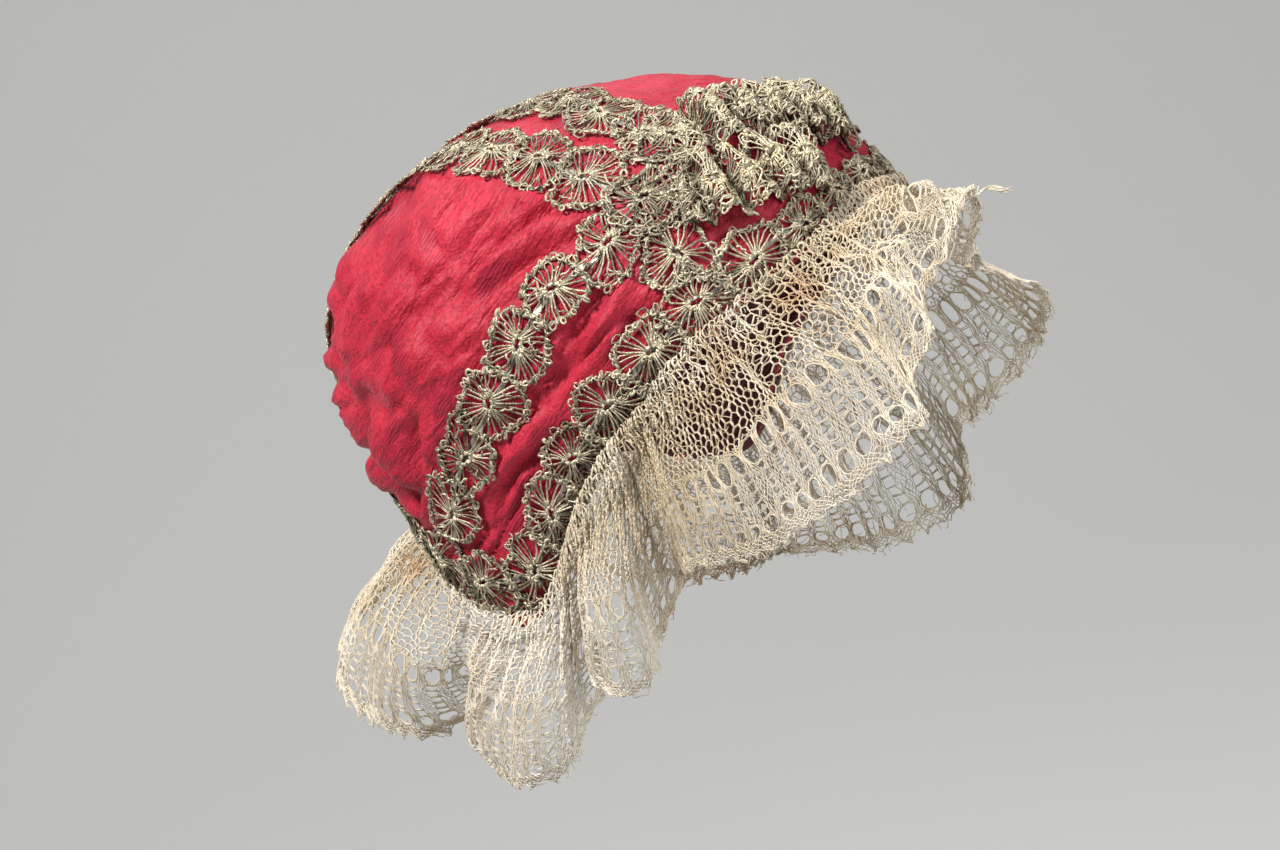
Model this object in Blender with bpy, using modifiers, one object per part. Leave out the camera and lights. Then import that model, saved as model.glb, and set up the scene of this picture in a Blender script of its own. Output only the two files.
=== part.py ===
"""Infant's bonnet: silk cap, applied bands of silver rosettes and a gathered lace frill, in metres, +Z up."""
import math

import bpy
import numpy as np
from mathutils import Vector
from mathutils.bvhtree import BVHTree

mm = 0.001

# Silk cap
wall = 1.5 * mm
topHeight = 64.5
topBack = -14.0
topShift = 1.5
tuckPower = 1.8
capColumns = 54
capRows = 12
rimFade = 0.25
topFade = 0.2
silkRed = (0.45, 0.03, 0.06)
seat = np.array([0.0, topBack, topHeight]) * mm - np.array([0.0, 0.0, wall])

# How finely curves are worked out before they are spaced evenly
domeSteps = 160
tuckSteps = 90
lineSteps = 200
rimSteps = 400
rimTurnStep = 5
bandSteps = 16
edgeSteps = 24

# Sections of the cap by turn from the face, in degrees and mm: the widest radius and its height,
# the radius and height of the rim, and how full the dome is.
sectionColumns = ("turn", "wide", "rim", "rimHeight", "full", "wideHeight")
sections = (
    (0, 90.0, 78.0, 26.0, 1.0, 2.0),
    (11, 89.0, 80.0, 24.0, 0.99, 2.0),
    (22, 86.0, 81.0, 20.0, 0.97, 2.0),
    (36, 79.0, 76.0, 11.5, 0.94, 2.0),
    (48, 70.0, 69.6, 1.5, 0.925, 2.0),
    (54, 68.0, 66.6, -5.0, 0.93, 2.0),
    (65, 64.0, 62.0, -15.5, 0.93, 3.0),
    (75, 60.5, 59.0, -28.0, 0.93, 4.0),
    (82, 60.0, 58.0, -38.5, 0.93, 5.0),
    (89, 60.0, 57.5, -46.5, 0.93, 6.0),
    (98, 61.0, 57.5, -48.5, 0.93, 7.0),
    (108, 62.0, 57.5, -47.0, 0.93, 9.0),
    (120, 63.0, 57.0, -41.0, 0.93, 11.0),
    (150, 66.5, 52.5, -32.0, 0.92, 14.0),
    (180, 68.0, 50.0, -28.0, 0.92, 15.0),
)

# Pull folds and dents of the silk: where the middle is (degrees from the face, share of the way down),
# its half sizes across and down, how many degrees it slants for each share down, and its height in mm.
pullColumns = ("turn", "down", "across", "along", "slant", "height")
pulls = (
    (78, 0.42, 7, 0.16, 60, 0.9),
    (96, 0.45, 7, 0.20, 45, -0.8),
    (112, 0.50, 8, 0.20, 40, 1.0),
    (128, 0.62, 8, 0.18, 30, -0.8),
    (140, 0.45, 9, 0.16, -20, 0.8),
    (60, 0.78, 6, 0.10, 40, 0.7),
    (158, 0.72, 9, 0.18, 15, -0.7),
    (186, 0.55, 9, 0.18, -15, 0.6),
    (215, 0.55, 9, 0.20, -40, -0.8),
    (236, 0.45, 8, 0.20, -45, 0.9),
    (262, 0.55, 8, 0.18, -50, -0.8),
    (284, 0.48, 8, 0.16, -60, 0.6),
    (12, 0.80, 8, 0.10, 10, 0.7),
    (347, 0.62, 8, 0.12, -10, -0.7),
)

# Silver bands
bandGap = 0.6 * mm
bandThickness = 1.3 * mm
rosettePitch = 15.8 * mm
rosetteHalf = 8.6 * mm
waistHalf = 5.6 * mm
stationsPerRosette = 4
oldSilver = (0.5, 0.47, 0.38)
headMiddle = np.array([0.0, -14.0, 8.0]) * mm

# The seam bands are bunched into standing pleats from their front ends: length along the band, how many
# pleats stand in it, and their height.
stationsPerPleat = 4
pleatsRight = (38 * mm, 5, 4.2 * mm)
pleatsLeft = (48 * mm, 6, 4.6 * mm)

# The band round the rim by turn: how far its middle line lies up from the rim in mm, and its share of
# the full width.
rimBandColumns = ("turn", "up", "share")
rimBandPlaces = (
    (0, 4.6, 0.44),
    (12, 4.8, 0.46),
    (25, 7.6, 0.76),
    (45, 9.2, 0.92),
    (65, 10.2, 1.0),
    (100, 10.4, 1.0),
    (180, 10.2, 1.0),
)

# Middle lines of the bands as (turn, share down) on the cap, from one end to the other. The wearer's left
# seam lies slid over the crown towards the right one, so the two are not mirror images.
seamBandRight = ((7.6, 0.836), (11, 0.812), (14, 0.786), (21, 0.75), (28, 0.715), (36, 0.655), (45, 0.575),
                 (54, 0.445), (73, 0.287), (104, 0.195), (132, 0.20), (158, 0.27), (165, 0.37),
                 (166, 0.50), (165, 0.65), (163, 0.79))
seamBandLeft = ((347, 0.785), (354, 0.70), (4, 0.64), (15, 0.59), (23, 0.545), (30, 0.503), (36, 0.42),
                (44, 0.285), (57, 0.105), (83, 0.06), (125, 0.055), (170, 0.08), (190, 0.16), (197, 0.27),
                (196, 0.37), (194, 0.50), (195, 0.65), (197, 0.79))
sideBandRight = ((55.5, 0.615), (62, 0.60), (71, 0.605), (83, 0.65), (95, 0.705), (104, 0.79), (107, 0.835))
sideBandLeft = ((338, 0.71), (332, 0.68), (323, 0.635), (315, 0.605), (306, 0.60), (298, 0.60),
                (289, 0.616), (277, 0.656), (265, 0.705), (256, 0.79), (253, 0.835))
linkBandRight = ((41, 0.745), (40, 0.81))
linkBandLeft = ((318, 0.735), (319, 0.80))

# Lace frill
frillThickness = 1.0 * mm
frillRows = (0.0, 0.04, 0.22, 0.46, 0.60, 0.80, 1.0)
holeRow = 3
frillStep = 4.1 * mm
headingGap = 0.75 * mm
headingDepth = 2.6 * mm
picot = 1.3 * mm
gatherHeight = 0.9 * mm
gatherPitch = 9.5 * mm
gatherGrowth = 1.6
edgeRipple = 1.1 * mm
edgeRipplePitch = 31 * mm
edgeRippleStart = 1.3
bowLift = 0.5
creamLace = (0.75, 0.66, 0.52)

# The frill's free edge round the face, the ears and the nape: the turn of the rim that each place is
# gathered to, where the edge stands from the middle of the head, and how far the lace bows outwards
# between the two, in degrees and mm.
edgeColumns = ("turn", "x", "y", "z", "bulge")
edgePlaces = (
    (0, -4, -113, 18, 2),
    (6, -18, -117, 27, 1),
    (11, -30, -118, 19, 2),
    (15, -34, -109, 9, 3),
    (19, -47, -115, 2, 4),
    (22.5, -51, -109, -5, 5),
    (26, -58, -114, -12, 5),
    (31, -62, -107, -18, 5),
    (37, -66, -95, -25, 5),
    (43, -68, -79, -33, 5),
    (49, -67, -63, -38, 5),
    (54, -62, -47, -40, 5),
    (58, -50, -34, -47, 3),
    (62, -58, -29, -58, 5),
    (66, -66, -28, -66, 6),
    (70, -68, -20, -67, 6),
    (74, -62, -10, -65, 5),
    (77, -51, -6, -71, 3),
    (80, -59, -2, -77, 5),
    (84, -67, -1, -83, 6),
    (89, -69, 8, -87, 7),
    (95, -65, 22, -87, 7),
    (101, -57, 32, -81, 6),
    (106, -47, 35, -76, 4),
    (111, -42, 37, -74, 4),
    (117, -46, 44, -78, 6),
    (125, -51, 52, -78, 7),
    (134, -49, 63, -75, 7),
    (143, -43, 75, -72, 6),
    (152, -33, 85, -66, 5),
    (161, -22, 89, -60, 4),
    (170, -9, 92, -58, 4),
    (180, 6, 95, -58, 4),
    (190, 21, 93, -58, 4),
    (200, 34, 89, -60, 5),
    (209, 44, 80, -64, 5),
    (217, 49, 69, -69, 4),
    (225, 46, 60, -70, 3),
    (232, 52, 52, -76, 5),
    (240, 60, 43, -81, 6),
    (248, 65, 31, -84, 6),
    (256, 66, 18, -84, 6),
    (263, 60, 7, -80, 4),
    (268, 52, -2, -76, 3),
    (273, 52, -14, -77, 4),
    (278, 56, -26, -79, 5),
    (283, 60, -36, -79, 5),
    (288, 62, -45, -77, 5),
    (293, 62, -53, -73, 5),
    (298, 60, -59, -66, 4),
    (303, 56, -61, -59, 3),
    (308, 53, -62, -51, 2),
    (314, 58, -71, -46, 2),
    (320, 60, -81, -39, 1),
    (326, 57, -91, -30, 0),
    (332, 50, -99, -23, -2),
    (339, 42, -102, -14, -4),
    (346, 28, -100, -4, -5),
    (353, 12, -101, 4, -3),
)


def evenTable(table, columns):
    """Columns of a table that is the same on both sides, as splines over the whole turn."""
    values = np.array(table, float)
    turns = np.concatenate([values[:, 0], 360 - values[-2:0:-1, 0]])
    rows = np.concatenate([values, values[-2:0:-1]])
    return {name: (turns, rows[:, k]) for k, name in enumerate(columns)}


def roundSpline(places, knots, values, whole):
    """A smooth closed curve through the values at the knots, of the given length once round."""
    x = np.asarray(places, float) % whole
    k = np.concatenate([knots[-2:] - whole, knots, knots[:2] + whole])
    v = np.concatenate([values[-2:], values, values[:2]])
    slope = np.zeros_like(v)
    width = (k[2:] - k[:-2]).reshape((-1,) + (1,) * (v.ndim - 1))
    slope[1:-1] = (v[2:] - v[:-2]) / width
    i = np.clip(np.searchsorted(k, x, side="right") - 1, 1, len(k) - 3)
    h = (k[i + 1] - k[i]).reshape(x.shape + (1,) * (v.ndim - 1))
    u = ((x - k[i]) / (k[i + 1] - k[i])).reshape(x.shape + (1,) * (v.ndim - 1))
    near = (2 * u**3 - 3 * u**2 + 1) * v[i] + (u**3 - 2 * u**2 + u) * h * slope[i]
    far = (-2 * u**3 + 3 * u**2) * v[i + 1] + (u**3 - u**2) * h * slope[i + 1]
    return near + far


def unit(v):
    return v / np.linalg.norm(v)


def evenly(line, count):
    """The line again with that many evenly spaced points."""
    along = np.concatenate([[0], np.cumsum(np.linalg.norm(np.diff(line, axis=0), axis=1))])
    at = np.linspace(0, along[-1], count)
    return np.stack([np.interp(at, along, line[:, k]) for k in range(3)], axis=1)


def sectionLine(turn, tables, count):
    """One meridian of the cap from its top to its rim, without folds."""
    size = {name: float(roundSpline([turn], *tables[name], 360)[0]) for name in sectionColumns[1:]}
    low = size["wideHeight"]
    high = topHeight - low
    reach = math.acos((size["rimHeight"] - low) / high) if size["rimHeight"] > low else math.pi / 2
    angle = np.linspace(0, reach, domeSteps)
    wide = size["wide"]
    if size["rimHeight"] > low:
        wide = size["rim"] / math.sin(reach) ** size["full"]
    radius = wide * np.sin(angle) ** size["full"]
    height = low + high * np.cos(angle)
    if size["rimHeight"] < low:
        k = np.linspace(0, 1, tuckSteps)[1:]
        radius = np.concatenate([radius, wide - (wide - size["rim"]) * k**tuckPower])
        height = np.concatenate([height, low - (low - size["rimHeight"]) * k])
    back = topBack * np.clip((height - low) / high, 0, 1) ** topShift
    a = math.radians(turn)
    return evenly(np.stack([-math.sin(a) * radius, -math.cos(a) * radius + back, height], 1), count) * mm


def pullHeight(turn, down):
    """How far the folds lift or sink the silk at a place on the cap."""
    total = 0.0
    for row in pulls:
        p = dict(zip(pullColumns, row))
        side = (turn - p["turn"] - p["slant"] * (down - p["down"]) + 180) % 360 - 180
        lift = math.exp(-((side / p["across"]) ** 2) - ((down - p["down"]) / p["along"]) ** 2)
        total += p["height"] * lift
    return total * mm * min(1.0, (1 - down) / rimFade) * min(1.0, down / topFade)


def capGrid(columns, rows):
    """Rows of points round the cap, from the ring by the top to the rim."""
    tables = evenTable(sections, sectionColumns)
    turns = [360 * i / columns for i in range(columns)]
    lines = np.array([sectionLine(t, tables, rows + 1) for t in turns])
    middle = np.array([0.0, topBack, 0.0]) * mm
    for i, turn in enumerate(turns):
        for j in range(1, rows + 1):
            out = lines[i, j] - middle
            lines[i, j] += out / np.linalg.norm(out) * pullHeight(turn, j / rows)
    return lines


def surfaceObject(name, points, faces, colour, metal, rough):
    """An open surface as an object of its own, with its own material."""
    mesh = bpy.data.meshes.new(name)
    mesh.from_pydata([tuple(p) for p in points], [], faces)
    mesh.update()
    material = bpy.data.materials.new(name)
    material.use_nodes = True
    shader = material.node_tree.nodes["Principled BSDF"]
    shader.inputs["Base Color"].default_value = (*colour, 1)
    shader.inputs["Metallic"].default_value = metal
    shader.inputs["Roughness"].default_value = rough
    mesh.materials.append(material)
    piece = bpy.data.objects.new(name, mesh)
    bonnet.objects.link(piece)
    return piece


def thicken(piece, thickness, offset):
    solid = piece.modifiers.new("thickness", "SOLIDIFY")
    solid.thickness = thickness
    solid.offset = offset
    solid.use_even_offset = True
    solid.use_quality_normals = True
    return solid


def silkCap():
    """The cap: a top point, rings down to the rim, and a wall inside them."""
    lines = capGrid(capColumns, capRows)
    top = lines[:, 0].mean(axis=0)
    points = [top] + [lines[i, j] for j in range(1, capRows + 1) for i in range(capColumns)]
    faces = []
    for i in range(capColumns):
        after = (i + 1) % capColumns
        faces.append((0, 1 + after, 1 + i))
        for j in range(capRows - 1):
            a, b = 1 + j * capColumns, 1 + (j + 1) * capColumns
            faces.append((a + i, a + after, b + after, b + i))
    cap = surfaceObject("silk_cap", np.array(points) - seat, faces, silkRed, 0.0, 0.5)
    thicken(cap, wall, -1)
    return BVHTree.FromPolygons([Vector(p) for p in points], faces)


def capPlace(tree, near):
    """The point of the cap that is nearest to a place, and its outward normal."""
    hit, normal, _, _ = tree.find_nearest(Vector(near))
    if normal.dot(hit - Vector(headMiddle)) < 0:
        normal = -normal
    return np.array(hit), np.array(normal)


def onCap(places, tables):
    """Points on the cap for (turn, share down) places."""
    out = []
    for turn, down in places:
        line = sectionLine(turn, tables, lineSteps + 1)
        out.append(line[round(down * lineSteps)])
    return np.array(out)


def smoothLine(points, closed):
    """A fine spline through the points."""
    if closed:
        knots = np.arange(len(points), dtype=float)
        return roundSpline(np.arange(0, len(points), 1 / bandSteps), knots, points, len(points))
    ends = np.concatenate([[2 * points[0] - points[1]], points, [2 * points[-1] - points[-2]]])
    fine = []
    for i in range(1, len(ends) - 2):
        for u in np.arange(0, 1, 1 / bandSteps):
            a, b, c, d = ends[i - 1:i + 3]
            fine.append(0.5 * (2 * b + (c - a) * u + (2 * a - 5 * b + 4 * c - d) * u**2
                               + (3 * b - a - 3 * c + d) * u**3))
    return np.array(fine + [points[-1]])


def bandStations(line, pleats):
    """Stations along a band: the place, the share of a scallop that they stand at, and how far they rise."""
    length = np.linalg.norm(np.diff(line, axis=0), axis=1).sum()
    bunched, count, height = pleats if pleats else (0.0, 0, 0.0)
    rosettes = max(1, round((length - bunched) / rosettePitch))
    first = np.arange(count * stationsPerPleat) / stationsPerPleat
    rest = np.arange(rosettes * stationsPerRosette + 1) / stationsPerRosette
    along = np.concatenate([first / max(count, 1) * bunched, bunched + rest / rosettes * (length - bunched)])
    rise = np.concatenate([height * 0.5 * (1 - np.cos(2 * math.pi * first)), rest * 0])
    reach = np.concatenate([[0], np.cumsum(np.linalg.norm(np.diff(line, axis=0), axis=1))])
    middle = np.stack([np.interp(along, reach, line[:, k]) for k in range(3)], axis=1)
    return middle, np.concatenate([first, rest]), rise


def silverBand(name, tree, line, closed, shares=None, pleats=None):
    """A scalloped strip laid on the cap along a line, a rosette to each pitch or pleat."""
    if closed:
        line = np.concatenate([line, line[:1]])
    middle, scallops, rise = bandStations(line, pleats)
    points, faces = [], []
    used = len(middle) - 1 if closed else len(middle)
    for k in range(used):
        before = (k - 1) % used if closed else max(k - 1, 0)
        after = (k + 1) % used if closed else min(k + 1, used - 1)
        along = middle[after] - middle[before]
        at, normal = capPlace(tree, middle[k])
        side = unit(np.cross(normal, along))
        half = waistHalf + (rosetteHalf - waistHalf) * 0.5 * (1 - math.cos(2 * math.pi * scallops[k]))
        if shares:
            turn = math.degrees(math.atan2(-middle[k][0], -middle[k][1]))
            half *= float(roundSpline([turn], *shares, 360)[0])
        for across in (-1, 0, 1):
            place, up = capPlace(tree, at + side * half * across)
            points.append(place + up * (bandGap + rise[k]))
        if k:
            faces += bandFaces(3 * (k - 1), 3 * k)
    if closed:
        faces += bandFaces(3 * (used - 1), 0)
    band = surfaceObject(name, np.array(points) - seat, faces, oldSilver, 0.9, 0.4)
    thicken(band, bandThickness, 1)


def bandFaces(a, b):
    return [(a, b, b + 1, a + 1), (a + 1, b + 1, b + 2, a + 2)]


def rimPlaces(tables, places):
    """Points of the cap a little above the rim, all the way round."""
    out = []
    for turn in range(0, 360, rimTurnStep):
        line = sectionLine(turn, tables, rimSteps + 1)
        length = np.linalg.norm(np.diff(line, axis=0), axis=1).sum()
        up = float(roundSpline([turn], *places["up"], 360)[0])
        out.append(line[round(rimSteps * (1 - up * mm / length))])
    return np.array(out)


def frillLines(tables):
    """The frill's free edge, gathered line, way down and bulge, by flat length along the edge."""
    rows = np.array(edgePlaces, float)
    knots = np.arange(len(rows), dtype=float)
    fine = np.arange(0, len(rows), 1 / edgeSteps)
    edge = roundSpline(fine, knots, rows[:, 1:4] * mm, len(rows))
    steps = np.linalg.norm(np.roll(edge, -1, axis=0) - edge, axis=1)
    along = np.concatenate([[0], np.cumsum(steps)])
    count = 2 * round(along[-1] / frillStep / 2)
    at = np.arange(count) * along[-1] / count
    share = np.interp(at, along, np.append(fine, len(rows)))
    edge = roundSpline(share, knots, rows[:, 1:4] * mm, len(rows))
    turns = np.interp(share, np.append(knots, len(rows)), np.append(rows[:, 0], 360))
    gather, down = [], []
    for turn in turns:
        line = sectionLine(turn, tables, lineSteps + 1)
        alongRim = sectionLine(turn + 1, tables, 2)[-1] - sectionLine(turn - 1, tables, 2)[-1]
        outward = unit(np.cross(alongRim, line[-1] - line[-4]))
        gather.append(line[-1] - outward * wall / 2)
        down.append(unit(np.cross(outward, alongRim)))
    bulge = roundSpline(share, knots, rows[:, 4] * mm, len(rows))
    return at, edge, np.array(gather), np.array(down), bulge, along[-1]


def frillPoint(edge, gather, bulge, at, v, length):
    """A point of the frill, v of the way from the gathers to the free edge."""
    chord = edge - gather
    reach = np.linalg.norm(chord)
    chord = chord / reach
    outward = gather * np.array([1, 1, 0])
    outward = unit(outward) + np.array([0, 0, bowLift])
    bow = unit(outward - chord * outward.dot(chord))
    once = 2 * math.pi * at / length
    grown = math.sin(math.pi * min(1, gatherGrowth * v))
    ripple = gatherHeight * math.sin(round(length / gatherPitch) * once) * grown
    ripple += edgeRipple * math.sin(round(length / edgeRipplePitch) * once + edgeRippleStart) * v**2
    return gather + chord * reach * v + bow * (4 * bulge * v * (1 - v) + ripple)


def laceFrill(tables):
    """The frill: rows from the gathers to the picots, with a row of large holes left open."""
    at, edge, gather, down, bulge, length = frillLines(tables)
    count = len(at)
    points = []
    for k in range(count):
        points.append(gather[k] + down[k] * headingGap)
        for v in frillRows[1:]:
            p = frillPoint(edge[k], gather[k] + down[k] * headingDepth, bulge[k], at[k], v, length)
            if v == 1.0 and k % 2:
                p = p + unit(edge[k] - gather[k]) * picot
            points.append(p)
    rows = len(frillRows)
    faces = []
    for k in range(count):
        a, b = k * rows, (k + 1) % count * rows
        for j in range(rows - 1):
            if j == holeRow and k % 2:
                continue
            faces.append((a + j, a + j + 1, b + j + 1, b + j))
    frill = surfaceObject("lace_frill", np.array(points) - seat, faces, creamLace, 0.0, 0.8)
    thicken(frill, frillThickness, 0)
    print("frill edge", round(length / mm), "mm,", count, "stations,", count // 2, "holes")


for old in list(bpy.data.objects):
    bpy.data.objects.remove(old, do_unlink=True)
bonnet = bpy.data.collections.new("baby_bonnet")
bpy.context.scene.collection.children.link(bonnet)

capTables = evenTable(sections, sectionColumns)
capTree = silkCap()
rimTables = evenTable(rimBandPlaces, rimBandColumns)
silverBand("rim_band", capTree, smoothLine(rimPlaces(capTables, rimTables), True), True, rimTables["share"])
for bandName, places, pleats in (
    ("seam_band_right", seamBandRight, pleatsRight),
    ("seam_band_left", seamBandLeft, pleatsLeft),
    ("side_band_right", sideBandRight, None),
    ("side_band_left", sideBandLeft, None),
    ("link_band_right", linkBandRight, None),
    ("link_band_left", linkBandLeft, None),
):
    silverBand(bandName, capTree, smoothLine(onCap(places, capTables), False), False, pleats=pleats)
laceFrill(capTables)
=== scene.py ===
import math

import bpy
import numpy as np
from mathutils import Matrix, Vector
from mathutils.bvhtree import BVHTree


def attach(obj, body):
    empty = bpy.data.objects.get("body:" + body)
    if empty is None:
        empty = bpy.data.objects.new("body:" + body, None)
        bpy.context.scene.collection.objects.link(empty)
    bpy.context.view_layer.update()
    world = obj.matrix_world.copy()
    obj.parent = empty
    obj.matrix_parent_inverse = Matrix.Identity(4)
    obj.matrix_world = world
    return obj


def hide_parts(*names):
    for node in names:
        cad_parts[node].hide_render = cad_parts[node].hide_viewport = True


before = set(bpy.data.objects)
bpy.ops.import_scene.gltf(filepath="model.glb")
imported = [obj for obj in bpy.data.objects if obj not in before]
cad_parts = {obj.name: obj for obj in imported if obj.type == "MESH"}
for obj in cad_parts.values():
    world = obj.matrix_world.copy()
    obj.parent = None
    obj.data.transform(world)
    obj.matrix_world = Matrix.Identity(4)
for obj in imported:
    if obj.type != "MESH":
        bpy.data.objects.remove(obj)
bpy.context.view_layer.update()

millimetre = 0.001  # everything below is worked out in millimetres
seat = np.array([0.0, -14.0, 63.0])  # the inner top of the cap, measured from the cap's middle

capSizes = {
    "wall": 1.5,
    "topHeight": 64.5,
    "topBack": -14.0,
    "topShift": 1.5,
    "tuckPower": 1.8,
    "rimFade": 0.25,
    "topFade": 0.2,
    "columns": 360,
    "rows": 120,
    "insideColumns": 180,
    "insideRows": 60,
    "domeSteps": 160,
    "tuckSteps": 90,
    "lineSteps": 16,
    "rimTurnStep": 5,
}

# turn from the face, widest radius, rim radius, rim height, fullness of the dome, height of the widest place
sections = (
    (0, 90.0, 78.0, 26.0, 1.0, 2.0),
    (11, 89.0, 80.0, 24.0, 0.99, 2.0),
    (22, 86.0, 81.0, 20.0, 0.97, 2.0),
    (36, 79.0, 76.0, 11.5, 0.94, 2.0),
    (48, 70.0, 69.6, 1.5, 0.925, 2.0),
    (54, 68.0, 66.6, -5.0, 0.93, 2.0),
    (65, 64.0, 62.0, -15.5, 0.93, 3.0),
    (75, 60.5, 59.0, -28.0, 0.93, 4.0),
    (82, 60.0, 58.0, -38.5, 0.93, 5.0),
    (89, 60.0, 57.5, -46.5, 0.93, 6.0),
    (98, 61.0, 57.5, -48.5, 0.93, 7.0),
    (108, 62.0, 57.5, -47.0, 0.93, 9.0),
    (120, 63.0, 57.0, -41.0, 0.93, 11.0),
    (150, 66.5, 52.5, -32.0, 0.92, 14.0),
    (180, 68.0, 50.0, -28.0, 0.92, 15.0),
)

# folds of the silk: size across and along, lean, height, and how sharp and how low the creases are
foldSizes = {
    "dragSlant": 46,
    "sway": (24, 30, 0.0, 1.0),
    "patch": (28, 34, 0.0, 0.6),
    "patchRange": (0.75, 1.5),
    "broad": (17, 46, 0.5, 1.8),
    "folds": (8.5, 28, 0.9, 5.4, 0.8, 0.42),
    "puckers": (4.6, 15, 1.1, 3.3, 0.75, 0.42),
    "smallPuckers": (2.8, 8, 1.3, 1.2, 0.8, 0.4),
    "grain": (2.2, 4.2, 0.0, 0.3),
    "crownBroad": (9, 19, 1 / 30, 0.9),
    "crownCreases": (7, 13, 1 / 14, 1.3, 1.0, 0.35),
    "crownCross": 13 / 30,
    "crownGrain": (2.6, 3.9, 0.0, 0.3),
    "crownFade": 0.06,
    "tallest": 2.1,
    "deepest": -3.0,
    "level": 0.1,
    "heldAbove": 7.0,
    "heldBelow": 4.5,
    "holdFade": 4.5,
    "heldShare": 0.06,
}

# large pull folds: turn, share down, half sizes across and down, slant in degrees for each share, height
pulls = (
    (78, 0.42, 7, 0.16, 60, 0.9),
    (96, 0.45, 7, 0.20, 45, -0.8),
    (112, 0.50, 8, 0.20, 40, 1.0),
    (128, 0.62, 8, 0.18, 30, -0.8),
    (140, 0.45, 9, 0.16, -20, 0.8),
    (60, 0.78, 6, 0.10, 40, 0.7),
    (158, 0.72, 9, 0.18, 15, -0.7),
    (186, 0.55, 9, 0.18, -15, 0.6),
    (215, 0.55, 9, 0.20, -40, -0.8),
    (236, 0.45, 8, 0.20, -45, 0.9),
    (262, 0.55, 8, 0.18, -50, -0.8),
    (284, 0.48, 8, 0.16, -60, 0.6),
    (12, 0.80, 8, 0.10, 10, 0.7),
    (347, 0.62, 8, 0.12, -10, -0.7),
)

# middle lines of the bands as turn and share down; the left seam crosses the crown towards the right one
seamLineRight = ((5, 0.855), (7.6, 0.836), (11, 0.812), (14, 0.786), (21, 0.75), (28, 0.715), (36, 0.655),
                 (45, 0.575), (54, 0.445), (73, 0.287), (104, 0.195), (132, 0.20), (158, 0.27), (165, 0.37),
                 (166, 0.50), (165, 0.65), (163, 0.79), (162, 0.86))
seamLineLeft = ((346, 0.795), (347, 0.785), (354, 0.70), (4, 0.64), (15, 0.59), (23, 0.545), (30, 0.503),
                (36, 0.42), (44, 0.285), (57, 0.105), (83, 0.06), (125, 0.055), (170, 0.08), (190, 0.16),
                (197, 0.27), (196, 0.37), (194, 0.50), (195, 0.65), (197, 0.79), (198, 0.86))
sideLineRight = ((48, 0.60), (55.5, 0.612), (62, 0.60), (71, 0.605), (83, 0.65), (95, 0.705), (104, 0.79),
                 (108, 0.86))
sideLineLeft = ((343, 0.735), (338, 0.71), (332, 0.68), (323, 0.635), (315, 0.605), (306, 0.60), (298, 0.60),
                (289, 0.616), (277, 0.656), (265, 0.705), (256, 0.79), (252, 0.86))
linkLineRight = ((43, 0.68), (41, 0.745), (40, 0.81), (40, 0.85))
linkLineLeft = ((317, 0.67), (318, 0.735), (319, 0.80), (320, 0.85))
# the rim band's middle line: turn, height over the rim, share of the full width
rimLift = ((0, 4.6, 0.44), (12, 4.8, 0.46), (25, 7.6, 0.76), (45, 9.2, 0.92), (65, 10.2, 1.0),
           (100, 10.4, 1.0), (180, 10.2, 1.0))
# where the seam bands are bunched from their front ends: length, standing pleats, height of a pleat
pleatsRight = (38.0, 5, 6.4)
pleatsLeft = (48.0, 6, 7.2)

# free edge of the frill: turn of the rim it is gathered to, place from the cap's middle, bow outwards
edgePlaces = (
    (0, -4, -113, 18, 2), (6, -18, -117, 27, 1), (11, -30, -118, 19, 2), (15, -34, -109, 9, 3),
    (19, -47, -115, 2, 4), (22.5, -51, -109, -5, 5), (26, -58, -114, -12, 5), (31, -62, -107, -18, 5),
    (37, -66, -95, -25, 5), (43, -68, -79, -33, 5), (49, -67, -63, -38, 5), (54, -62, -47, -40, 5),
    (58, -50, -34, -47, 3), (62, -58, -29, -58, 5), (66, -66, -28, -66, 6), (70, -68, -20, -67, 6),
    (74, -62, -10, -65, 5), (77, -51, -6, -71, 3), (80, -59, -2, -77, 5), (84, -67, -1, -83, 6),
    (89, -69, 8, -87, 7), (95, -65, 22, -87, 7), (101, -57, 32, -81, 6), (106, -47, 35, -76, 4),
    (111, -42, 37, -74, 4), (117, -46, 44, -78, 6), (125, -51, 52, -78, 7), (134, -49, 63, -75, 7),
    (143, -43, 75, -72, 6), (152, -33, 85, -66, 5), (161, -22, 89, -60, 4), (170, -9, 92, -58, 4),
    (180, 6, 95, -58, 4), (190, 21, 93, -58, 4), (200, 34, 89, -60, 5), (209, 44, 80, -64, 5),
    (217, 49, 69, -69, 4), (225, 46, 60, -70, 3), (232, 52, 52, -76, 5), (240, 60, 43, -81, 6),
    (248, 65, 31, -84, 6), (256, 66, 18, -84, 6), (263, 60, 7, -80, 4), (268, 52, -2, -76, 3),
    (273, 52, -14, -77, 4), (278, 56, -26, -79, 5), (283, 60, -36, -79, 5), (288, 62, -45, -77, 5),
    (293, 62, -53, -73, 5), (298, 60, -59, -66, 4), (303, 56, -61, -59, 3), (308, 53, -62, -51, 2),
    (314, 58, -71, -46, 2), (320, 60, -81, -39, 1), (326, 57, -91, -30, 0), (332, 50, -99, -23, -2),
    (339, 42, -102, -14, -4), (346, 28, -100, -4, -5), (353, 12, -101, 4, -3),
)


# shared curve and noise helpers
def unitRows(v):
    return v / np.maximum(np.linalg.norm(v, axis=-1, keepdims=True), 1e-9)


def smoothStep(x):
    # 0 below 0, 1 above 1 and smooth between them
    x = np.clip(x, 0, 1)
    return x * x * (3 - 2 * x)


def bell(x):
    return np.exp(-x**2)


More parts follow.
